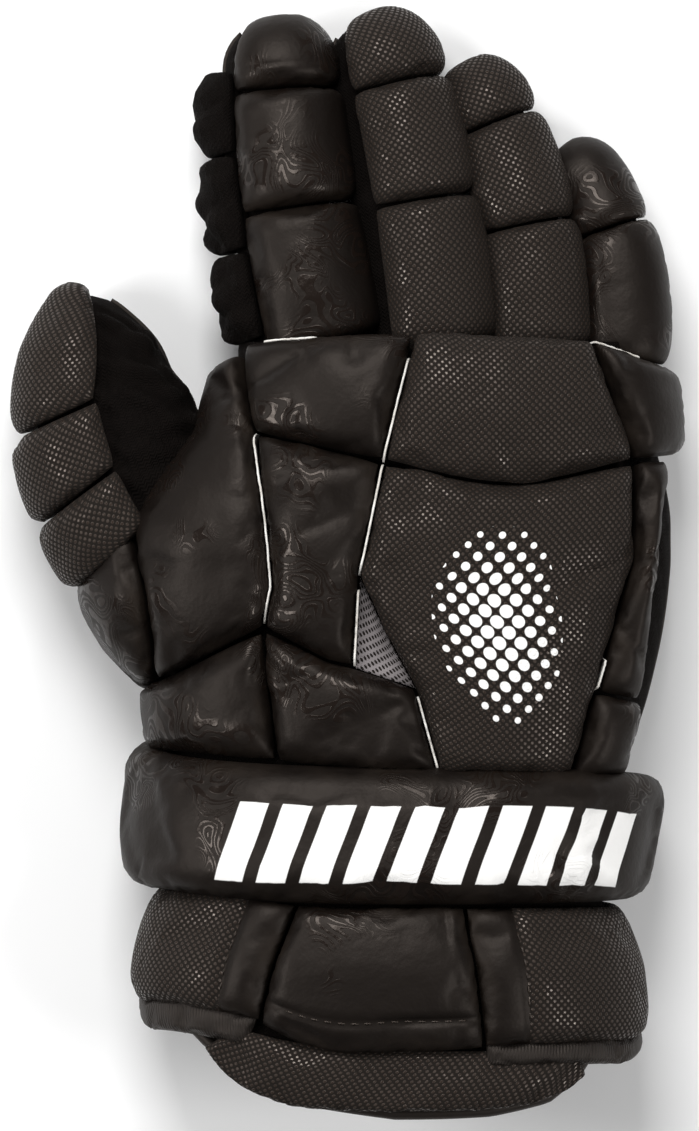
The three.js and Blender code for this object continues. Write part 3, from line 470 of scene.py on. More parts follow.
def lines(size, shoulder, spacing):
    """Places from -1 to 1 across a pad: equal steps of a quarter circle over each shoulder, then an
    even spacing between the shoulders."""
    reach = min(shoulder, 0.4 * size)
    edge = 2 * reach / size * (1 - np.cos(np.radians(np.linspace(0, 90, 7))))
    count = max(2, round((size - 2 * reach) / spacing))
    inner = np.linspace(-1 + edge[-1], 1 - edge[-1], count + 1)
    return np.concatenate([-1 + edge[:-1], inner, 1 - edge[-2::-1]])


def bulge(distance, radius):
    """A quarter circle up from an edge to full height."""
    t = np.clip(distance / radius, 0, 1)
    return np.sqrt(t * (2 - t))


class Pad:
    """One cushion over a four-sided patch: a crowned top sheet, sides that pull in below its widest
    line, and an underside that follows what carries it."""

    # How high its widest line runs, as a share of its thickness
    waist = 0.55

    def __init__(self, name, surface, place, thickness, finish, gap, shoulder=6.0, crown=0.0, relief=None,
                 spacing=1.4, corner=2.4, pull=0.15, band=None):
        self.name, self.surface, self.place, self.thickness, self.finish = name, surface, place, thickness, finish
        self.gap, self.shoulder, self.crown, self.relief = gap, shoulder, crown, relief
        self.corner, self.pull, self.band = corner, pull, band
        shares = np.linspace(-1, 1, 33)
        self.width = self.run(shares, 0 * shares)
        self.length = self.run(0 * shares, shares)
        self.across = lines(self.width, shoulder, spacing)
        self.along = lines(self.length, shoulder, spacing)
        self.a, self.b = np.meshgrid(self.across, self.along)
        self.top = self.sheet(self.a, self.b, self.heights(self.a, self.b))
        self.uv = np.stack([self.measured(1, self.across), self.measured(0, self.along)], -1).reshape(-1, 2)

    def run(self, a, b):
        """How far it is over the tube along a line of the patch."""
        return steps_of(self.surface.point(*self.place(a, b))).sum()

    def measured(self, axis, shares):
        """The length along the cloth from a pad's middle line, row by row or column by column."""
        steps = np.linalg.norm(np.diff(self.top, axis=axis), axis=-1)
        run = np.insert(np.cumsum(steps, axis=axis), 0, 0, axis=axis)
        return run - np.take(run, [np.argmin(np.abs(shares))], axis=axis)

    def inset(self, size, a, b):
        """How far a pad's edge keeps from its seam: half the gap, more at the rounded corners, and
        a little where it pulls in between them."""
        return (1 - self.gap / size - 0.6 * self.corner / size * (a * b) ** 4
                - 2 * self.pull / size * (1 - (a * b) ** 2) * np.maximum(np.abs(a), np.abs(b)) ** 8)

    def sheet(self, a, b, height):
        """Points of the patch, inside its seams, that stand off the tube by a height."""
        turn, at = self.place(a * self.inset(self.width, a, b), b * self.inset(self.length, a, b))
        return self.surface.off(turn, at, height)

    def drawn_in(self, a, b, inward, height):
        """Those points, drawn in by a distance all round."""
        return self.sheet(a * (1 - 2 * inward / self.width), b * (1 - 2 * inward / self.length), height)

    def full(self, a, b):
        """The pad's thickness before its edges are rounded."""
        return self.thickness(*self.place(a, b))

    def from_edges(self, a, b):
        """The distances from the side edges and from the high and low edges."""
        return (1 - np.abs(a)) * self.width / 2, (1 - np.abs(b)) * self.length / 2

    def heights(self, a, b):
        """Full thickness in the middle, down a quarter circle to the waist at the edges, plus a
        crown that is a parabola both ways."""
        side, end = self.from_edges(a, b)
        lift = bulge(side, self.shoulder) * bulge(end, self.shoulder)
        height = self.full(a, b) * lerp(self.waist, 1, lift) + self.crown * (1 - a * a) * (1 - b * b)
        return height if self.relief is None else height + self.relief(a, b, self) * lift

    def in_band(self, a):
        """1 on the smooth strip along one side edge, 0 elsewhere."""
        side, width = self.band or (1, -1.0)
        return (side * a > 1 - 2 * width / self.width).astype(int)

    def closed(self):
        """The top sheet, a quarter circle that runs from its rim down and in under it, and a flat
        sheet that closes the underside."""
        rows, columns = self.a.shape
        rim = rim_of(rows, columns)
        a, b = self.a.ravel()[rim], self.b.ravel()[rim]
        points, uv = [self.top.reshape(-1, 3)], [self.uv]
        waist = self.full(a, b) * self.waist
        # The cloth may have moved the rim off the plain sheet; the sides take that up.
        moved = points[0][rim] - self.sheet(a, b, waist)
        # The underside keeps back from the edges by 2.6 mm, or by a fifth of a small pad.
        tuck = min(2.6, 0.2 * self.width, 0.2 * self.length)
        for angle in np.radians([22, 45, 68]):
            height = waist - (waist - FOOT) * math.sin(angle)
            side = self.drawn_in(a, b, tuck * (1 - math.cos(angle)), height)
            points.append(side + moved * (1 - math.sin(angle)))
            drop = float(np.mean(waist)) * math.sin(angle)
            uv.append(self.uv[rim] + drop * np.stack([a * (np.abs(a) == 1), b * (np.abs(b) == 1)], -1))
        start, count = rows * columns, len(rim)
        under = start + 3 * count
        points.append(self.drawn_in(self.a, self.b, tuck, np.full(self.a.shape, FOOT)).reshape(-1, 3))
        uv.append(self.uv)
        faces = grid_faces(rows, columns)
        on_top = np.tile(self.in_band((self.across[1:] + self.across[:-1]) / 2), rows - 1)
        on_side = self.in_band((a + np.roll(a, -1)) / 2)
        ring = [rim] + [start + k * count + np.arange(count) for k in range(3)] + [under + rim]
        for upper, lower in zip(ring, ring[1:]):
            faces += np.stack([upper, lower, np.roll(lower, -1), np.roll(upper, -1)], -1).tolist()
        faces += grid_faces(rows, columns, under, flip=True)
        index = np.concatenate([on_top, np.tile(on_side, 4), on_top])
        points = np.concatenate(points)
        # Nothing goes below the table.
        points[:, 2] = np.maximum(points[:, 2], 0.05)
        side, end = self.from_edges(self.a, self.b)
        near = 1 - np.minimum(1, np.minimum(side, end) / self.shoulder).ravel()
        near = np.concatenate([near, np.ones(3 * count + rows * columns)])
        return points, faces, np.concatenate(uv), index, near


def thinned(full, side):
    """Pads thin out to a share of their thickness as they turn down the side of the hand."""
    return lambda turn, at: full * lerp(side, 1, np.maximum(0, np.cos(np.radians(turn))))


def finger_cover(surface, turns, top, side):
    """Thick on the back of a finger, thin at its sides and at its tip."""
    middle = (turns[0] + turns[1]) / 2
    return lambda turn, at: lerp(side, top, np.maximum(0, np.cos(np.radians(turn - middle)))) * (
        1 - TIP_THINNING * surface.closing(at))


def puffed(pads, most, pressure):
    """Blender's cloth on the top sheets of several pads at once: each is held along its rim and
    pressed out from inside, and no point goes further than `most` from where it was."""
    sheets = [pad.top.reshape(-1, 3) for pad in pads]
    starts = np.cumsum([0] + [len(sheet) for sheet in sheets])
    faces, rims = [], []
    for pad, start in zip(pads, starts):
        rows, columns = pad.a.shape
        faces += grid_faces(rows, columns, int(start))
        rims.append(start + rim_of(rows, columns))
    cloth = piece("cloth", np.concatenate(sheets), faces, [])
    cloth.vertex_groups.new(name="rim").add(np.concatenate(rims).tolist(), 1.0, "REPLACE")
    modifier = cloth.modifiers.new("cloth", "CLOTH")
    # A negative shrink gives each sheet 2.5 % of cloth to spare.
    for name, value in dict(
        quality=4, mass=0.3, tension_stiffness=20, compression_stiffness=20, shear_stiffness=10,
        bending_stiffness=0.4, vertex_group_mass="rim", use_pressure=True, uniform_pressure_force=pressure,
        shrink_min=-0.025,
    ).items():
        setattr(modifier.settings, name, value)
    modifier.settings.effector_weights.gravity = 0
    modifier.collision_settings.use_collision = False
    modifier.point_cache.frame_start, modifier.point_cache.frame_end = 1, CLOTH_FRAMES
    scene = bpy.context.scene
    for number in range(1, CLOTH_FRAMES + 1):
        scene.frame_set(number)
    shown = cloth.evaluated_get(bpy.context.evaluated_depsgraph_get()).data
    moved = np.zeros(len(shown.vertices) * 3, np.float32)
    shown.vertices.foreach_get("co", moved)
    moved = moved.reshape(-1, 3) / MM - ORIGIN - np.concatenate(sheets)
    scene.frame_set(1)
    bpy.data.objects.remove(cloth)
    length = np.linalg.norm(moved, axis=1, keepdims=True)
    moved *= most * np.tanh(length / most) / np.maximum(length, 1e-9)
    for pad, start, end in zip(pads, starts, starts[1:]):
        pad.top = pad.top + moved[start:end].reshape(pad.top.shape)

def cover(pads, most=1.2, pressure=2.0):
    """Makes, fills and hangs each pad of a group under the root body, in place of its CAD node."""
    puffed(pads, most, pressure)
    for pad in pads:
        points, faces, uv, index, rim = pad.closed()
        made = piece("soft_" + pad.name, points, faces, [finish(pad.finish), finish("leather")], uv, index, rim)
        stands_for(made, pad.name)


def stands_for(made, node):
    """Hangs a soft piece under the root body and hides the CAD node whose place it takes."""
    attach(made, "root")
    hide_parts(node)


# ---------------------------------------------------------------- materials
_finishes = {}
# The photographed black is a warm one, also where it shines.
WARM = (1.0, 0.87, 0.78, 1.0)


def linear(code):
    """An sRGB hex colour as the linear RGBA that shaders use."""
    channels = [int(code[k:k + 2], 16) / 255 for k in (1, 3, 5)]
    return [c / 12.92 if c <= 0.04045 else ((c + 0.055) / 1.055) ** 2.4 for c in channels] + [1.0]


def tint(name):
    """A colour of the panel by its name; any other value as it is."""
    return list(getattr(bpy.context.scene.glove_colours, name)) if isinstance(name, str) else name


class Shade:
    """A material as it is made, with the texture places that its patterns read: the cloth's own UV
    map, in metres along it, and the object's coordinates. Plain values are set on the shader."""

    def __init__(self, name, **values):
        self.material = bpy.data.materials.new(name)
        self.material.use_nodes = True
        self.tree = self.material.node_tree
        self.shader = self.tree.nodes["Principled BSDF"].inputs
        self.shader["Specular Tint"].default_value = WARM
        for socket, value in values.items():
            self.shader[socket.replace("_", " ")].default_value = value
        place = self.add("TexCoord")
        self.uv, self.spot = place["UV"], place["Object"]

    def add(self, kind, inputs=None, **settings):
        """Adds a node with its settings, links or sets its inputs, and gives its outputs."""
        made = self.tree.nodes.new("ShaderNode" + kind)
        for name, value in settings.items():
            setattr(made, name, value)
        for socket, value in (inputs or {}).items():
            if isinstance(value, bpy.types.NodeSocket):
                self.tree.links.new(value, made.inputs[socket])
            else:
                made.inputs[socket].default_value = value
        return made.outputs

    def link(self, socket, value):
        self.tree.links.new(value, self.shader[socket])

    def noise(self, scale, detail=2.0, distortion=0.0):
        """A noise over the object, from 0 to 1 and about 0.5 on the whole."""
        return self.add("TexNoise", {"Vector": self.spot, "Scale": scale, "Detail": detail,
                                     "Distortion": distortion})["Fac"]

    def split(self, place):
        """The X and Y of a place."""
        parts = self.add("SeparateXYZ", {0: place})
        return parts["X"], parts["Y"]

    def reckon(self, operation, *values):
        return self.add("Math", dict(enumerate(values)), operation=operation)[0]

    def times(self, first, second):
        return self.reckon("MULTIPLY", first, second)

    def vector(self, operation, *values):
        return self.add("VectorMath", dict(enumerate(values)), operation=operation)

    def ranged(self, value, low, high, start=0.0, end=1.0, soft=False):
        """Maps a value from one range to another."""
        inputs = {"Value": value, "From Min": low, "From Max": high, "To Min": start, "To Max": end}
        return self.add("MapRange", inputs, interpolation_type="SMOOTHSTEP" if soft else "LINEAR")[0]

    def mixed(self, factor, low, high):
        """Lays one colour over another, or over the colour that is already there, by a factor."""
        made = self.add("Mix", {"Factor": factor, "A": tint(low), "B": tint(high)}, data_type="RGBA")["Result"]
        self.link("Base Color", made)
        return made

    def bumped(self, *layers):
        """Stacks bump layers, each a height, the millimetres it stands for and its strength."""
        below = {}
        for height, distance, strength in layers:
            inputs = {"Height": height, "Distance": distance * MM, "Strength": strength}
            below = {"Normal": self.add("Bump", {**inputs, **below})[0]}
        self.link("Normal", below["Normal"])

    def lattice(self, spacing):
        """The distance from the nearest point of a diamond lattice, in shares of its spacing (mm)."""
        turned = self.add("Mapping", {"Vector": self.uv, "Rotation": (0, 0, math.radians(45)),
                                      "Scale": (1 / (spacing * MM),) * 3})[0]
        centred = self.vector("SUBTRACT", self.vector("FRACTION", turned)[0], (0.5, 0.5, 0))[0]
        return self.vector("LENGTH", centred)["Value"]

    def ribs(self):
        """Ribs along the cloth, 1 mm apart, from -1 to 1."""
        return self.reckon("SINE", self.times(self.split(self.uv)[0], math.tau / MM))

    def print_over(self, mask, ground, roughness):
        """A screen print laid over a finish: its ink's colour and an even, duller gloss."""
        self.mixed(mask, ground, "ink")
        self.link("Roughness", self.add("Mix", {"Factor": mask, "A": roughness, "B": 0.55})["Result"])


# The row of bars on the wrist roll, in mm along the cloth: how many, where the first starts, how far
# apart, the height of their middle, half their height, how far they lean
BARS, BAR_START, BAR_STEP, BAR_MIDDLE, BAR_HALF, BAR_LEAN = 10, -50.0, 13.0, -4.0, 12.0, -0.28


def slanted_bars(shade):
    """Ten slanted bars in a row, 24 mm tall: a plain pattern."""
    x, y = shade.split(shade.uv)
    lean = shade.reckon("MULTIPLY_ADD", y, BAR_LEAN, x)
    step = shade.reckon("MULTIPLY_ADD", lean, 1 / (BAR_STEP * MM), -BAR_START / BAR_STEP)
    off_middle = shade.reckon("ABSOLUTE", shade.reckon("SUBTRACT", shade.reckon("FRACT", step), 0.5))
    inside = shade.times(shade.reckon("GREATER_THAN", step, 0.0), shade.reckon("LESS_THAN", step, BARS))
    height = shade.reckon("ABSOLUTE", shade.reckon("SUBTRACT", y, BAR_MIDDLE * MM))
    tall = shade.ranged(height, BAR_HALF * MM, (BAR_HALF - 0.3) * MM)
    return shade.times(shade.times(shade.ranged(off_middle, 0.35, 0.33), inside), tall)


def fading_oval(shade):
    """An upright oval, 39 by 60 mm, of round dots that shrink towards its edge: a plain halftone."""
    moved = shade.add("Mapping", {"Vector": shade.uv, "Location": (0, -0.07, 0),
                                  "Scale": (1 / (19.5 * MM), 1 / (30 * MM), 0)})[0]
    reach = shade.vector("LENGTH", moved)["Value"]
    radius = shade.ranged(shade.times(reach, reach), 0.0, 1.0, 0.47, 0.2)
    dot = shade.ranged(shade.reckon("SUBTRACT", radius, shade.lattice(4.6)), 0.0, 0.04)
    return shade.times(dot, shade.reckon("LESS_THAN", reach, 1.0))


def leather(printed=False):
    """Coated synthetic leather, pressed with a tonal relief: satin black, fine pebble grain, soft
    creases, curls that shine more than the ground, and edges rubbed a little lighter and duller."""
    shade = Shade("printed synthetic leather" if printed else "coated synthetic leather", Specular_IOR_Level=0.22)
    grain = shade.add("TexVoronoi", {"Vector": shade.spot, "Scale": 900.0})["Distance"]
    creases = shade.noise(70.0, 3.0)
    # The curls are the level lines of a slow noise, about 2 mm apart, shown in patches.
    wave = shade.reckon("SINE", shade.times(shade.noise(62.0, 0.0, 1.6), 66.0))
    patch = shade.ranged(shade.noise(32.0, 1.5), 0.5, 0.58, soft=True)
    relief = shade.times(shade.ranged(wave, -0.1, 0.5, soft=True), patch)
    rim = shade.add("Attribute", attribute_name="rim")["Fac"]
    rubbed = shade.times(shade.ranged(rim, 0.2, 0.75, soft=True), shade.ranged(creases, 0.4, 0.65))
    worn = shade.mixed(shade.times(rubbed, 0.6), shade.mixed(relief, "leather", "relief"), "rubbed")
    rough = shade.reckon("MULTIPLY_ADD", rubbed, 0.12, shade.ranged(relief, 0.0, 1.0, 0.5, 0.22))
    shade.link("Roughness", rough)
    shade.bumped((creases, 1.4, 0.5), (relief, 0.08, 0.8), (grain, 0.06, 0.5))
    if printed:
        shade.print_over(slanted_bars(shade), worn, rough)
    return shade.material


def weave(printed=False):
    """Woven nylon with raised coated dots in a diamond grid, 1.55 mm apart: matt black ground that
    creases a little, and small glossy dots, some rubbed dull."""
    shade = Shade("printed dot coated nylon" if printed else "dot coated nylon", Specular_IOR_Level=0.4)
    dot = shade.ranged(shade.lattice(1.55), 0.4, 0.2, soft=True)
    # The dots are lighter than the ground: partly the coating's own tone, partly a painted highlight.
    ground = shade.mixed(dot, "weave", "dots")
    shine = shade.times(dot, shade.ranged(shade.noise(260.0, 1.0), 0.3, 0.6, 0.5, 1.0))
    rough = shade.ranged(shine, 0.0, 1.0, 0.92, 0.17)
    shade.link("Roughness", rough)
    shade.bumped((shade.noise(80.0, 3.0), 1.2, 0.5), (dot, 0.16, 0.8))
    if printed:
        shade.print_over(fading_oval(shade), ground, rough)
    return shade.material


def knit():
    """Stretch knit in columns of V stitches, 1.6 mm wide: matt black with a faint fuzz."""
    shade = Shade("black stretch knit", Roughness=0.95, Specular_IOR_Level=0.1)
    x, y = shade.split(shade.add("Mapping", {"Vector": shade.uv, "Scale": (1 / (1.6 * MM), 1 / (1.2 * MM), 1)})[0])
    slanted = shade.reckon("MULTIPLY_ADD", shade.reckon("PINGPONG", x, 0.5), 1.6, y)
    wave = shade.reckon("SINE", shade.times(slanted, math.tau))
    both = shade.reckon("MULTIPLY_ADD", wave, 0.35, shade.noise(700.0))
    # Darker between the stitches' ridges than on them: painted shade in the valleys, with the fuzz's own random tone.
    shade.mixed(both, "knit", "knit_ridge")
    shade.bumped((both, 0.35, 0.9))
    return shade.material


def palm():
    """Suede-like microfibre: very matt, mottled by its nap."""
    shade = Shade("microfibre palm suede", Roughness=0.85, Sheen_Weight=0.2, Sheen_Roughness=0.4)
    shade.mixed(shade.noise(60.0, 6.0), "knit", "palm")
    shade.bumped((shade.noise(1200.0), 0.12, 0.6))
    return shade.material


def lining():
    """Brushed tricot inside the glove: dull grey-black, in fine ribs 1 mm apart."""
    shade = Shade("brushed tricot lining", Roughness=0.95, Sheen_Weight=0.2, Sheen_Roughness=0.6)
    ribs = shade.ribs()
    # Dark between the ribs and lighter on them: painted shade in the rib valleys.
    shade.mixed(shade.ranged(ribs, -1.0, 1.0), "knit", "lining")
    shade.bumped((ribs, 0.2, 0.5))
    return shade.material


def binding():
    """Grosgrain edge binding: ribs across it, 1 mm apart, satin black."""
    shade = Shade("grosgrain edge binding", Roughness=0.58, Specular_IOR_Level=0.4)
    slub = shade.noise(400.0)
    shade.mixed(slub, "weave", "binding")
    shade.bumped((shade.ribs(), 0.12, 0.6), (slub, 0.1, 0.4))
    return shade.material


def mesh_cloth():
    """Grey spacer mesh with holes 1.7 mm apart: dark holes in a soft grey ground."""
    shade = Shade("grey spacer mesh", Roughness=0.85)
    hole = shade.ranged(shade.lattice(1.7), 0.34, 0.26, soft=True)
    shade.mixed(hole, "mesh", "weave")
    shade.bumped((shade.reckon("SUBTRACT", 1.0, hole), 0.4, 0.8), (shade.noise(900.0), 0.1, 0.5))
    return shade.material


def foam_edge():
    """The cut edge of white foam board in a seam: matt, off-white, a little grubby."""
    shade = Shade("white foam edge", Roughness=0.8)
    grime = shade.noise(160.0, 4.0)
    shade.mixed(shade.ranged(grime, 0.45, 0.75), "edge", "edge_grime")
    shade.bumped((grime, 0.15, 0.5))
    return shade.material


def thread():
    """Bonded nylon sewing thread: black, slightly glossy, with its twist."""
    shade = Shade("bonded nylon thread", Roughness=0.4)
    twist = shade.add("TexWave", {"Vector": shade.spot, "Scale": 380.0, "Distortion": 1.0})["Fac"]
    # Lighter along the twist's crests than in its grooves: a painted highlight along the twist.
    shade.mixed(twist, "weave", "dots")
    shade.bumped((twist, 0.08, 0.6))
    return shade.material


FINISHES = {
    "leather": leather, "roll": lambda: leather(printed=True), "weave": weave, "centre": lambda: weave(printed=True),
    "knit": knit, "palm": palm, "lining": lining, "binding": binding, "mesh": mesh_cloth, "edge": foam_edge,
    "thread": thread,
}


def finish(name):
    """Each material is made once."""
    if name not in _finishes:
        _finishes[name] = FINISHES[name]()
    return _finishes[name]


# ---------------------------------------------------------------- properties
def thick(name, default, least, description):
    """A length property, with its default and its least value in millimetres."""
    return bpy.props.FloatProperty(name=name, description=description, default=default * MM, min=least * MM,
                                   unit="LENGTH")


def colour(name, code, description):
    """A colour property, from an sRGB hex colour."""
    return bpy.props.FloatVectorProperty(name=name, description=description, subtype="COLOR", size=4, min=0.0,
                                         max=1.0, default=linear(code))


class GloveSizes(bpy.types.PropertyGroup):
    back_pad: thick("Back pad", 12, 4, "Thickness of the pads on the back of the hand")
    finger_pad: thick("Finger pad", 12, 4, "Thickness of the pads on the fingers")
    thumb_pad: thick("Thumb pad", 9, 3, "Thickness of the pads on the thumb")
    roll: thick("Wrist roll", 15, 4, "Thickness of the roll round the wrist")
    cuff: thick("Cuff panel", 9, 3, "Thickness of the cuff's panels")
    crown: thick("Crown", 1.6, 0, "Extra height in the middle of a back pad")
    seam_gap: thick("Seam gap", 0.6, 0, "Gap between neighbouring pads")


class GloveColours(bpy.types.PropertyGroup):
    leather: colour("Leather", "#0e0a08", "Ground of the smooth synthetic leather")
    relief: colour("Pressed relief", "#18120f", "Curls pressed into the leather")
    rubbed: colour("Rubbed edge", "#1e1813", "Leather where its edges are rubbed")
    weave: colour("Weave", "#0b0806", "Ground of the dot coated nylon")
    # Lighter than the weave: partly the dots' own coating tone, partly a painted highlight; in the thread, a painted
    # highlight on the twist.
    dots: colour("Dots", "#2f2722", "Coated dots on the nylon")
    # Also the painted shade between the knit's ridges and between the lining's ribs.
    knit: colour("Knit", "#050404", "Knit between its ridges, and the dark of the suede")
    knit_ridge: colour("Knit ridge", "#0c0908", "Ridges of the stretch knit")
    palm: colour("Palm", "#1b1815", "Nap of the palm's suede")
    # The ribs' colour; between them the lining is painted darker as shade.
    lining: colour("Lining", "#2a2624", "Ribs of the lining")
    binding: colour("Binding", "#1a1614", "Edge binding and side piping")
    mesh: colour("Mesh", "#8f898a", "Grey spacer mesh in the gusset")
    edge: colour("Foam edge", "#eeebe6", "Light foam edges in the seams")
    edge_grime: colour("Foam grime", "#b9b2a8", "Foam edges where they are grubby")
    ink: colour("Ink", "#f3f2f0", "Screen print on the wrist roll and the middle of the back")


def glove_sizes():
    """The sizes in drawing millimetres."""
    sizes = bpy.context.scene.glove_sizes
    return {name: getattr(sizes, name) / MM for name in GloveSizes.__annotations__}


# ---------------------------------------------------------------- operators
def mouth_place(turn):
    """Where the slanted mouth cuts the cuff's tube, found by halving the way to it 14 times."""
    y = np.full_like(turn, 12.0)
    for _ in range(14):
        x, _, z = np.moveaxis(hand_point(turn, y), -1, 0)
        edge = np.interp(x / HAND_WIDTH, MOUTH[:, 0], MOUTH[:, 1]) * LENGTH
        y = (y + edge + MOUTH_SLOPE * (HAND_HEIGHT - np.maximum(z, 0))) / 2
    return y


def from_line(x, y, line):
    """The distance in plan from a broken line: the least of those from its straight parts."""
    best = np.full(np.shape(x), np.inf)
    for start, end in zip(np.array(line, float), np.array(line[1:], float)):
        ahead = end - start
        share = np.clip(((x - start[0]) * ahead[0] + (y - start[1]) * ahead[1]) / (ahead @ ahead), 0, 1)
        best = np.minimum(best, np.hypot(x - start[0] - share * ahead[0], y - start[1] - share * ahead[1]))
    return best


def walled(sheet, level):
    """A sheet that goes on from its last row as a wall of four more rows, up or down to a level."""
    rows = [sheet]
    for part in (0.25, 0.5, 0.75, 1.0):
        row = sheet[-1:].copy()
        row[..., 2] = lerp(row[..., 2], level, part)
        rows.append(row)
    return np.concatenate(rows)


def half_sleeve(node, surface, places, back, wobble=0.0, mouth=False, capped=False, inset=0.0, columns=61, sewn=()):
    """One half of a sleeve, WALL thick: an outer and an inner sheet between the two side seams,
    joined all round. The palm's half is pressed flat on the table. A capped sleeve ends in a wall
    that runs to the side seam; `inset` keeps the lining back from a closed tip; `sewn` lines in plan
    are drawn in as round-bottomed channels."""
    seam = surface.seam_turn(places)[:, None]
    share = np.linspace(0, 1, columns)[None, :]
    turn = lerp(-seam, seam, share) if back else lerp(seam, 360 - seam, share)
    at = np.broadcast_to(places[:, None], turn.shape)
    if mouth:
        at = lerp(mouth_place(turn), at[-1:], (at - places[0]) / (places[-1] - places[0]))
    height = 0 * turn
    if wobble:
        fade = np.minimum(1, 4 * np.minimum(share, 1 - share)) * (1 - surface.closing(at) ** 2)
        # A fold's valley stays clear of the lining.
        height = np.maximum(wobble * folds(surface.point(turn, at), 6.5, 5), -0.5 * WALL) * fade
    outer = surface.off(turn, at, height)
    inner = surface.off(turn, at - inset * surface.closing(at), 0 * turn - WALL)
    outer[..., 2] = np.maximum(outer[..., 2], 0)
    inner[..., 2] = np.maximum(inner[..., 2], WALL)
    for line in sewn:
        away = from_line(outer[..., 0], outer[..., 1], line)
        outer[..., 2] += CHANNEL * np.exp(-(away / 1.2) ** 2) * (outer[..., 2] < 6)
    if capped:
        inner[-1, :, 1] -= WALL
        level = lerp(outer[-1, 0, 2], outer[-1, -1, 2], share[0])
        outer, inner = walled(outer, level), walled(inner, level)
    rows, columns = outer.shape[:2]
    size = rows * columns
    faces = grid_faces(rows, columns) + grid_faces(rows, columns, size, flip=True)
    rim = rim_of(rows, columns)
    faces += np.stack([rim, rim + size, np.roll(rim + size, -1), np.roll(rim, -1)], -1).tolist()
    along = run_of(outer[:, columns // 2])
    widest = steps_of(outer[rows // 2]).sum()
    uv = np.stack(np.broadcast_arrays((share - 0.5) * widest, along[:, None]), -1).reshape(-1, 2)
    quads = (rows - 1) * (columns - 1)
    index = [0] * quads + [1] * quads + [0] * len(rim)
    kind = "knit" if back else "palm"
    made = piece("soft_" + node, np.concatenate([outer.reshape(-1, 3), inner.reshape(-1, 3)]), faces,
                 [finish(kind), finish("lining")], np.concatenate([uv, uv]), index, merged=True)
    stands_for(made, node)


def carried(path, up, profile, loop=False):
    """A closed profile carried along a path: each ring is the path's point plus the profile's first
    number sideways and its second number up. The ends of an open path are capped."""
    ahead = np.gradient(path, axis=0)
    if loop:
        ahead = np.roll(path, -1, axis=0) - np.roll(path, 1, axis=0)
    aside = np.cross(ahead, up)
    aside /= np.linalg.norm(aside, axis=1, keepdims=True)
    points = path[:, None] + profile[None, :, :1] * aside[:, None] + profile[None, :, 1:] * up[:, None]
    count, around = points.shape[:2]
    i, j = np.mgrid[0:count if loop else count - 1, 0:around]
    after, beside = (i + 1) % count, (j + 1) % around
    faces = np.stack([i * around + j, i * around + beside, after * around + beside, after * around + j], -1)
    faces = faces.reshape(-1, 4)[:, ::-1].tolist()
    if not loop:
        faces += [list(range(around)), list(range((count - 1) * around, count * around))[::-1]]
    return points.reshape(-1, 3), faces


def round_profile(radius, around=10):
    """The corners of a circle."""
    angle = np.linspace(0, math.tau, around, endpoint=False)
    return radius * np.stack([np.cos(angle), np.sin(angle)], -1)


def joined(name, parts, kind):
    """Several small closed meshes made one object, with its faces turned outwards."""
    points, faces, start = [], [], 0
    for more, around in parts:
        points.append(more)
        faces += [[start + k for k in face] for face in around]
        start += len(more)
    made = piece(name, np.concatenate(points), faces, [finish(kind)])
    work = bmesh.new()
    work.from_mesh(made.data)
    bmesh.ops.recalc_face_normals(work, faces=work.faces)
    work.to_mesh(made.data)
    work.free()
    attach(made, "root")


def raised(surface, turn, at, height):
    """A path that stands off a tube, and the tube's normal along it."""
    path = surface.off(turn, at, height + 0 * turn)
    up = surface.off(turn, at, height + 1 + 0 * turn) - path
    return path, up / np.linalg.norm(up, axis=-1, keepdims=True)


def stitches(path, up):
    """A row of thread stitches, each 2.8 mm long in every 4 mm: short cords that dip into the cloth
    at both ends."""
    length, every, radius = 2.8, 4.0, 0.32
    run = steps_of(path).sum()
    parts = []
    for start in np.arange(every, run - every, every):
        share = np.linspace(start, start + length, 5) / run
        small, over = along_line(path, share), along_line(up, share)
        dip = radius * (1 - 2.2 * (np.linspace(-1, 1, 5) ** 4))[:, None]
        parts.append(carried(small + over * dip, over, round_profile(radius, 6)))
    return parts


# Seams that show a light foam edge: the seams' names along it, the part of that line, and how high
# it stands as a share of the pad's thickness
FOAM_EDGES = (
    ("knuckleIndex rowIndex", 0.2, 1.0, 0.745), ("rowIndex backElbow", 0.02, 1.0, 0.745),
    ("backElbow indexFoot", 0.15, 0.98, 0.745), ("rowThumb webSide webFoot", 0.0, 0.98, 0.745),
    ("backNotch backFootThumb", 0.1, 0.98, 0.745), ("backRing backLow", 0.74, 0.99, 0.745),
    ("knuckleThumb knuckleIndex", 0.08, 0.42, 0.5), ("knuckleRing knuckleWrap", 0.02, 0.5, 0.5),
)
# How far an edge tucks under the panel above it, as a share of the length
TUCKS = {"cuff_thumb_binding": 0.006, "cuff_little_binding": 0.006, "cuff_skirt": 0.01}
# Where the palm's patches meet, in plan: round the thumb's base, below the fingers, round the heel
PALM_SEAMS = (
    [(-46, 226), (-33, 196), (-24, 168), (-24, 140), (-34, 118), (-46, 102)],
    [(-38, 206), (-10, 213), (22, 212), (54, 206), (76, 196)],
    [(-24, 158), (2, 150), (28, 136), (44, 118), (50, 102)],
)
# The rows of stitching that the cuff's panels leave for the trim: path and normal
STITCH_ROWS = []


def crumpled(depth, spacing, seed):
    """Cloth in crossing folds: loose knit in small deep ones, a firm pad in wide shallow dents."""
    def relief(a, b, pad):
        return depth * folds(pad.surface.point(*pad.place(a, b)), spacing, seed)

    return relief


DENTED = crumpled(0.26, 15.0, 11)


def groove(away, depth):
    """A round-bottomed channel, by the distance from its middle."""
    return -depth * np.exp(-(away / 1.3) ** 2)


def channel(side, width):
    """A sewn channel along one side of a panel, at a distance from its edge."""
    return lambda a, b, pad: groove((1 - side * a) * pad.width / 2 - width, 1.3)


def hem(height):
    """A sewn line across a panel, at a distance from its low edge."""
    return lambda a, b, pad: groove((1 + b) * pad.length / 2 - height, 1.0)


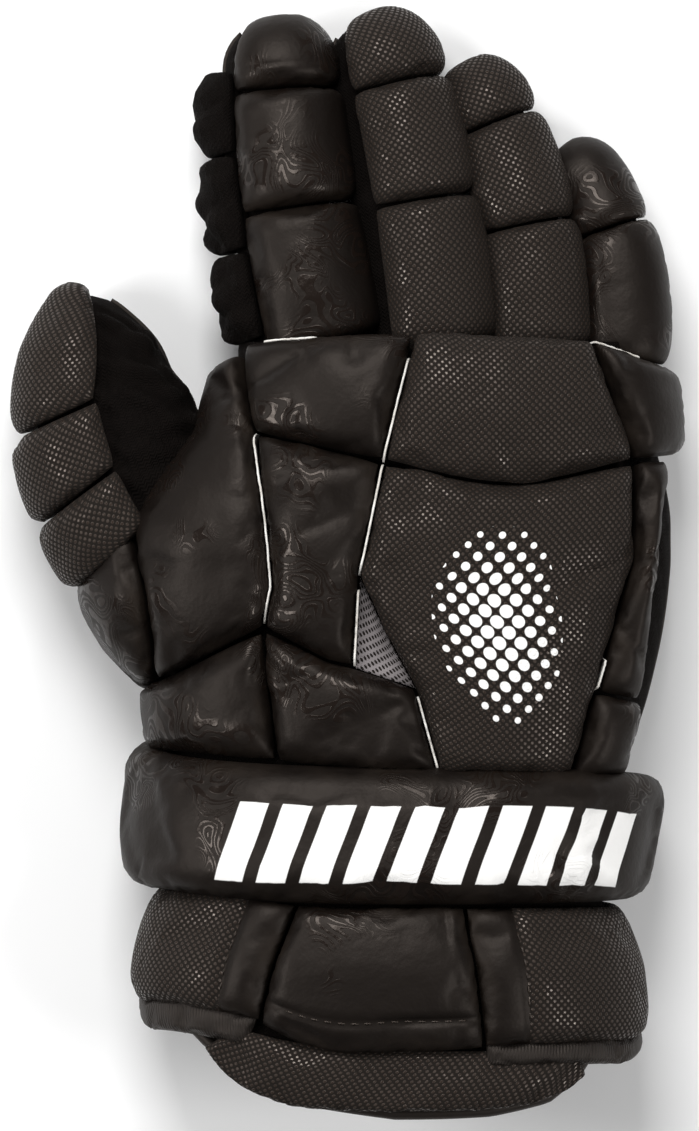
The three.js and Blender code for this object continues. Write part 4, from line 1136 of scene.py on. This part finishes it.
class GLOVE_OT_back(bpy.types.Operator):
    """Cover the pads on the back of the hand and the mesh gusset between them"""
    bl_idname = "glove.back"
    bl_label = "Back pads"

    def execute(self, context):
        size = glove_sizes()
        cover([
            Pad(name, HAND_TUBE, seamed(*edges), thinned(size["back_pad"], SIDE_SHARE), kind, size["seam_gap"],
                crown=size["crown"], relief=DENTED)
            for name, (kind, *edges) in BACK_PADS.items()
        ])
        cover([Pad("mesh_gusset", HAND_TUBE, seamed(*GUSSET), lambda turn, at: 1.2 + 0 * turn, "mesh", 0.0,
                   shoulder=1.2, spacing=1.5, corner=0.0, pull=0.0)], most=0.3, pressure=0.5)
        return {"FINISHED"}


class GLOVE_OT_cuff(bpy.types.Operator):
    """Cover the wrist roll and the cuff's panels, bindings and skirt"""
    bl_idname = "glove.cuff"
    bl_label = "Wrist and cuff"

    def execute(self, context):
        size = glove_sizes()
        # thickness, the share of it at the sides, shoulder
        shapes = {
            "wrist_roll": (size["roll"], 0.93, 9.0), "cuff_thumb_binding": (6.0, SIDE_SHARE, 3.0),
            "cuff_little_binding": (6.0, SIDE_SHARE, 3.0), "cuff_skirt": (5.0, SIDE_SHARE, 2.5),
        }
        # Smooth strips that end in a sewn line: along which side and how wide
        strips = {"cuff_thumb_panel": (1, STRIP), "cuff_little_panel": (-1, STRIP)}
        pads = []
        for name, (kind, low_turn, high_turn, low, high, curve) in WRIST_PADS.items():
            full, side, shoulder = shapes.get(name, (size["cuff"], SIDE_SHARE, 6.0))
            strip = strips.get(name)
            # The bindings and the skirt tuck under the panels above them.
            high = [edge + TUCKS.get(name, 0) for edge in high]
            relief = channel(*strip) if strip else hem(HEM) if name == "cuff_centre_panel" else None
            place = wrapped(low_turn, high_turn, low, high, curve)
            pads.append(Pad(name, HAND_TUBE, place, thinned(full, side), kind, size["seam_gap"], shoulder,
                            relief=relief, corner=1.0, pull=0.1, band=strip))
        cover(pads)
        STITCH_ROWS.clear()
        for pad in pads:
            if pad.relief is None:
                continue
            if pad.band:
                side, width = pad.band
                path = pad.top[4:-4, np.argmin(np.abs((1 - side * pad.across) * pad.width / 2 - width))]
            else:
                path = pad.top[np.argmin(np.abs((1 + pad.along) * pad.length / 2 - HEM)), 4:-4]
            turn = turn_at(path[:, 0], path[:, 1])
            up = HAND_TUBE.off(turn, path[:, 1], 30 + 0 * turn) - HAND_TUBE.point(turn, path[:, 1])
            STITCH_ROWS.append((path, up / np.linalg.norm(up, axis=1, keepdims=True)))
        return {"FINISHED"}


class GLOVE_OT_fingers(bpy.types.Operator):
    """Cover the finger pads and the knit puffs beside the index finger"""
    bl_idname = "glove.fingers"
    bl_label = "Fingers"

    def execute(self, context):
        size = glove_sizes()
        pads = []
        for name, (_, _, _, girth, _, turns, creases) in FINGERS.items():
            tube = FINGER_TUBES[name]
            kind = "leather" if name in ("index", "little") else "weave"
            thickness = finger_cover(tube, turns, size["finger_pad"] * girth, 3.5)
            stops = [-0.05, *creases, 0.985]
            parts = ["base", "middle", "tip"] if len(creases) == 2 else ["base", "tip"]
            for part, ends in zip(parts, zip(stops, stops[1:])):
                pads.append(Pad(f"{name}_{part}_pad", tube, banded(turns, ends), thickness, kind, size["seam_gap"],
                                relief=DENTED))
        cover(pads)
        tube, turns = FINGER_TUBES["index"], (-142, FINGERS["index"][5][0])
        cover([
            Pad("index_side_puff_" + part, tube, banded(turns, ends), finger_cover(tube, turns, 8.5, 4.25), "knit",
                size["seam_gap"], shoulder=8.4, relief=crumpled(1.7, 10.0, 8))
            for part, ends in PUFFS.items()
        ], most=1.6, pressure=3.0)
        return {"FINISHED"}


class GLOVE_OT_thumb(bpy.types.Operator):
    """Cover the thumb's rolls and its tip pad"""
    bl_idname = "glove.thumb"
    bl_label = "Thumb"

    def execute(self, context):
        size = glove_sizes()
        thickness = finger_cover(THUMB_TUBE, THUMB_WRAP, size["thumb_pad"], 0.6 * size["thumb_pad"])
        cover([
            Pad(name, THUMB_TUBE, banded(THUMB_WRAP, ends), thickness, "weave", size["seam_gap"], relief=DENTED)
            for name, ends in THUMB_PADS.items()
        ])
        return {"FINISHED"}


class GLOVE_OT_shell(bpy.types.Operator):
    """Sew the glove's inner shell: a knit back and a suede palm for the cuff, hand, fingers and thumb"""
    bl_idname = "glove.shell"
    bl_label = "Shell"

    def execute(self, context):
        cuff_end = CUFF_SEAM * LENGTH
        hand_end = HAND[-1, 0] * LENGTH
        dome = np.sin(np.radians(np.linspace(0, 90, 10)))
        finger_places = np.concatenate([np.linspace(-0.02, DOME_START, 26)[:-1], lerp(DOME_START, 1.0, dome)])
        thumb_places = np.concatenate([np.linspace(-1.0, 4.0, 56)[:-1], lerp(4.0, THUMB_TIP, dome)])
        for back, side in ((True, "backing"), (False, "palm")):
            # The back stops under the knuckle pads' edge.
            rows = np.linspace(cuff_end + SEAT, hand_end - 5.0 if back else hand_end, 110)
            half_sleeve(side, HAND_TUBE, rows, back, 0.5 if back else 0.25, capped=True, columns=121,
                        sewn=() if back else [curved(line) for line in PALM_SEAMS])
            half_sleeve("cuff_" + side, HAND_TUBE, np.linspace(20.0, cuff_end, 30), back, mouth=True)
            half_sleeve("thumb_" + side, THUMB_TUBE, thumb_places, back, 2.6 if back else 0.5, inset=0.12)
            for name, tube in FINGER_TUBES.items():
                half_sleeve(f"{name}_{side}", tube, finger_places, back, 0.8 if back else 0.4, inset=0.025)
        return {"FINISHED"}


class GLOVE_OT_trim(bpy.types.Operator):
    """Lay the light foam edges in the seams, the piping at the sides, the mouth's binding and the stitching"""
    bl_idname = "glove.trim"
    bl_label = "Trim"

    def execute(self, context):
        full = glove_sizes()["back_pad"]
        keyhole = np.array([(0.12, -3.2), (0.12, -0.32), (0.25, -0.2), (0.35, 0.0), (0.25, 0.26), (0.0, 0.36),
                            (-0.25, 0.26), (-0.35, 0.0), (-0.25, -0.2), (-0.12, -0.32), (-0.12, -3.2)])
        edges = []
        for names, start, end, stand in FOAM_EDGES:
            plan = along_line(seam_line(names), np.linspace(start, end, max(6, round(60 * (end - start)))))
            turn = turn_at(plan[:, 0], plan[:, 1])
            # Each edge dips here and there, and sinks into its seam at both ends.
            run = np.linspace(-1, 1, len(turn))
            stand = stand + 0.025 * np.sin(20 * run + np.sin(45 * run))
            stand = thinned(full, SIDE_SHARE)(turn, plan[:, 1]) * stand - 3.0 * run ** 12
            edges.append(carried(*raised(HAND_TUBE, turn, plan[:, 1], stand), keyhole))
        joined("foam_edges", edges, "edge")

        piping = []
        for sign in (-1, 1):
            y = np.linspace(CUFF_SEAM * LENGTH, HAND[-1, 0] * LENGTH, 90)
            tracks = [(HAND_TUBE, y), (THUMB_TUBE, np.linspace(0.6, 4.7, 50))]
            tracks += [(tube, np.linspace(0.02, 0.97, 50)) for tube in FINGER_TUBES.values()]
            for surface, at in tracks:
                piping.append(carried(*raised(surface, sign * surface.seam_turn(at), at, 0.2), round_profile(0.8)))
        joined("side_piping", piping, "binding")

        turn = np.linspace(0, 360, 181)[:-1]
        at = mouth_place(turn)
        path = HAND_TUBE.off(turn, at, 0 * turn - WALL / 2)
        path[:, 2] = np.maximum(path[:, 2], 1.9)
        up = HAND_TUBE.off(turn, at, 0 * turn + 1) - HAND_TUBE.point(turn, at)
        joined("mouth_binding", [carried(path, up, round_profile(1.9, 12), loop=True)], "binding")

        seams = []
        for line in PALM_SEAMS:
            plan = curved(line)[1:-1]
            path = np.column_stack([plan, np.full(len(plan), 0.55)])
            seams += stitches(path, np.broadcast_to([0.0, 0.0, -1.0], path.shape))
        joined("palm_stitching", seams, "thread")
        joined("cuff_stitching", [part for row in STITCH_ROWS for part in stitches(*row)], "thread")
        return {"FINISHED"}


class GLOVE_OT_stage(bpy.types.Operator):
    """Lay the pale floor, set the studio lights and the camera straight above"""
    bl_idname = "glove.stage"
    bl_label = "Stage"

    def execute(self, context):
        scene = context.scene
        far = 1500.0
        paper = Shade("matt white paper", Roughness=0.9, Specular_IOR_Level=0.2)
        paper.mixed(paper.noise(3.0), linear("#fbfbfb"), linear("#fefefe"))
        piece("floor", [(-far, -far, 0), (far, -far, 0), (far, far, 0), (-far, far, 0)], [[0, 1, 2, 3]],
                       [paper.material])
        world = bpy.data.worlds.new("studio")
        world.use_nodes = True
        background = world.node_tree.nodes["Background"].inputs
        background["Color"].default_value = (1, 1, 1, 1)
        background["Strength"].default_value = 0.2
        scene.world = world
        # Plain sRGB keeps the paper white and the leather as dark as it is.
        scene.view_settings.view_transform = "Standard"
        centre = Vector((0.0, 0.0, 0.03))
        for name, spot, width, power in (
            ("high softbox", (-0.15, 0.85, 1.0), 0.6, 14.0),
            ("left softbox", (-0.9, 0.05, 0.75), 0.35, 6.0),
            ("right softbox", (0.85, -0.3, 0.9), 0.35, 5.5),
        ):
            light = bpy.data.lights.new(name, "AREA")
            light.size, light.energy = width, power
            lamp = bpy.data.objects.new(name, light)
            lamp.location = spot
            lamp.rotation_euler = (centre - Vector(spot)).to_track_quat("-Z", "Y").to_euler()
            scene.collection.objects.link(lamp)
        camera = bpy.data.cameras.new("camera")
        # The photograph is 699 by 1131 of its pixels and is taken as seen from 4 m. The glove's drawing
        # starts at its pixel (395, 1111).
        distance, long_side = 4.0, 1131 * PIXEL * MM
        camera.sensor_width, camera.lens = 36.0, 36.0 * distance / long_side
        camera.clip_start, camera.clip_end = 0.1, 20
        eye = bpy.data.objects.new("camera", camera)
        middle = (np.array([(349.5 - 395) * PIXEL, (1111 - 565.5) * PIXEL, 0]) + ORIGIN) * MM
        eye.location = (middle[0], middle[1], distance + 0.045)
        scene.collection.objects.link(eye)
        scene.camera = eye
        return {"FINISHED"}


class GLOVE_PT_panel(bpy.types.Panel):
    """The glove's sizes and the steps that build it"""
    bl_idname = "GLOVE_PT_panel"
    bl_label = "Lacrosse Glove"
    bl_space_type = "VIEW_3D"
    bl_region_type = "UI"
    bl_category = "Glove"

    def draw(self, context):
        for group, kind in (("glove_sizes", GloveSizes), ("glove_colours", GloveColours)):
            for name in kind.__annotations__:
                self.layout.prop(getattr(context.scene, group), name)
        for step in STEPS:
            self.layout.operator(step.bl_idname)


STEPS = (GLOVE_OT_back, GLOVE_OT_cuff, GLOVE_OT_fingers, GLOVE_OT_thumb, GLOVE_OT_shell, GLOVE_OT_trim,
         GLOVE_OT_stage)
CLASSES = (GloveSizes, GloveColours, *STEPS, GLOVE_PT_panel)


def register():
    for one in CLASSES:
        bpy.utils.register_class(one)
    bpy.types.Scene.glove_sizes = bpy.props.PointerProperty(type=GloveSizes)
    bpy.types.Scene.glove_colours = bpy.props.PointerProperty(type=GloveColours)


def unregister():
    del bpy.types.Scene.glove_sizes
    del bpy.types.Scene.glove_colours
    for one in reversed(CLASSES):
        bpy.utils.unregister_class(one)


def main():
    register()
    bpy.ops.glove.back()
    bpy.ops.glove.cuff()
    bpy.ops.glove.fingers()
    bpy.ops.glove.thumb()
    bpy.ops.glove.shell()
    bpy.ops.glove.trim()
    bpy.ops.glove.stage()


if __name__ == "__main__":
    main()
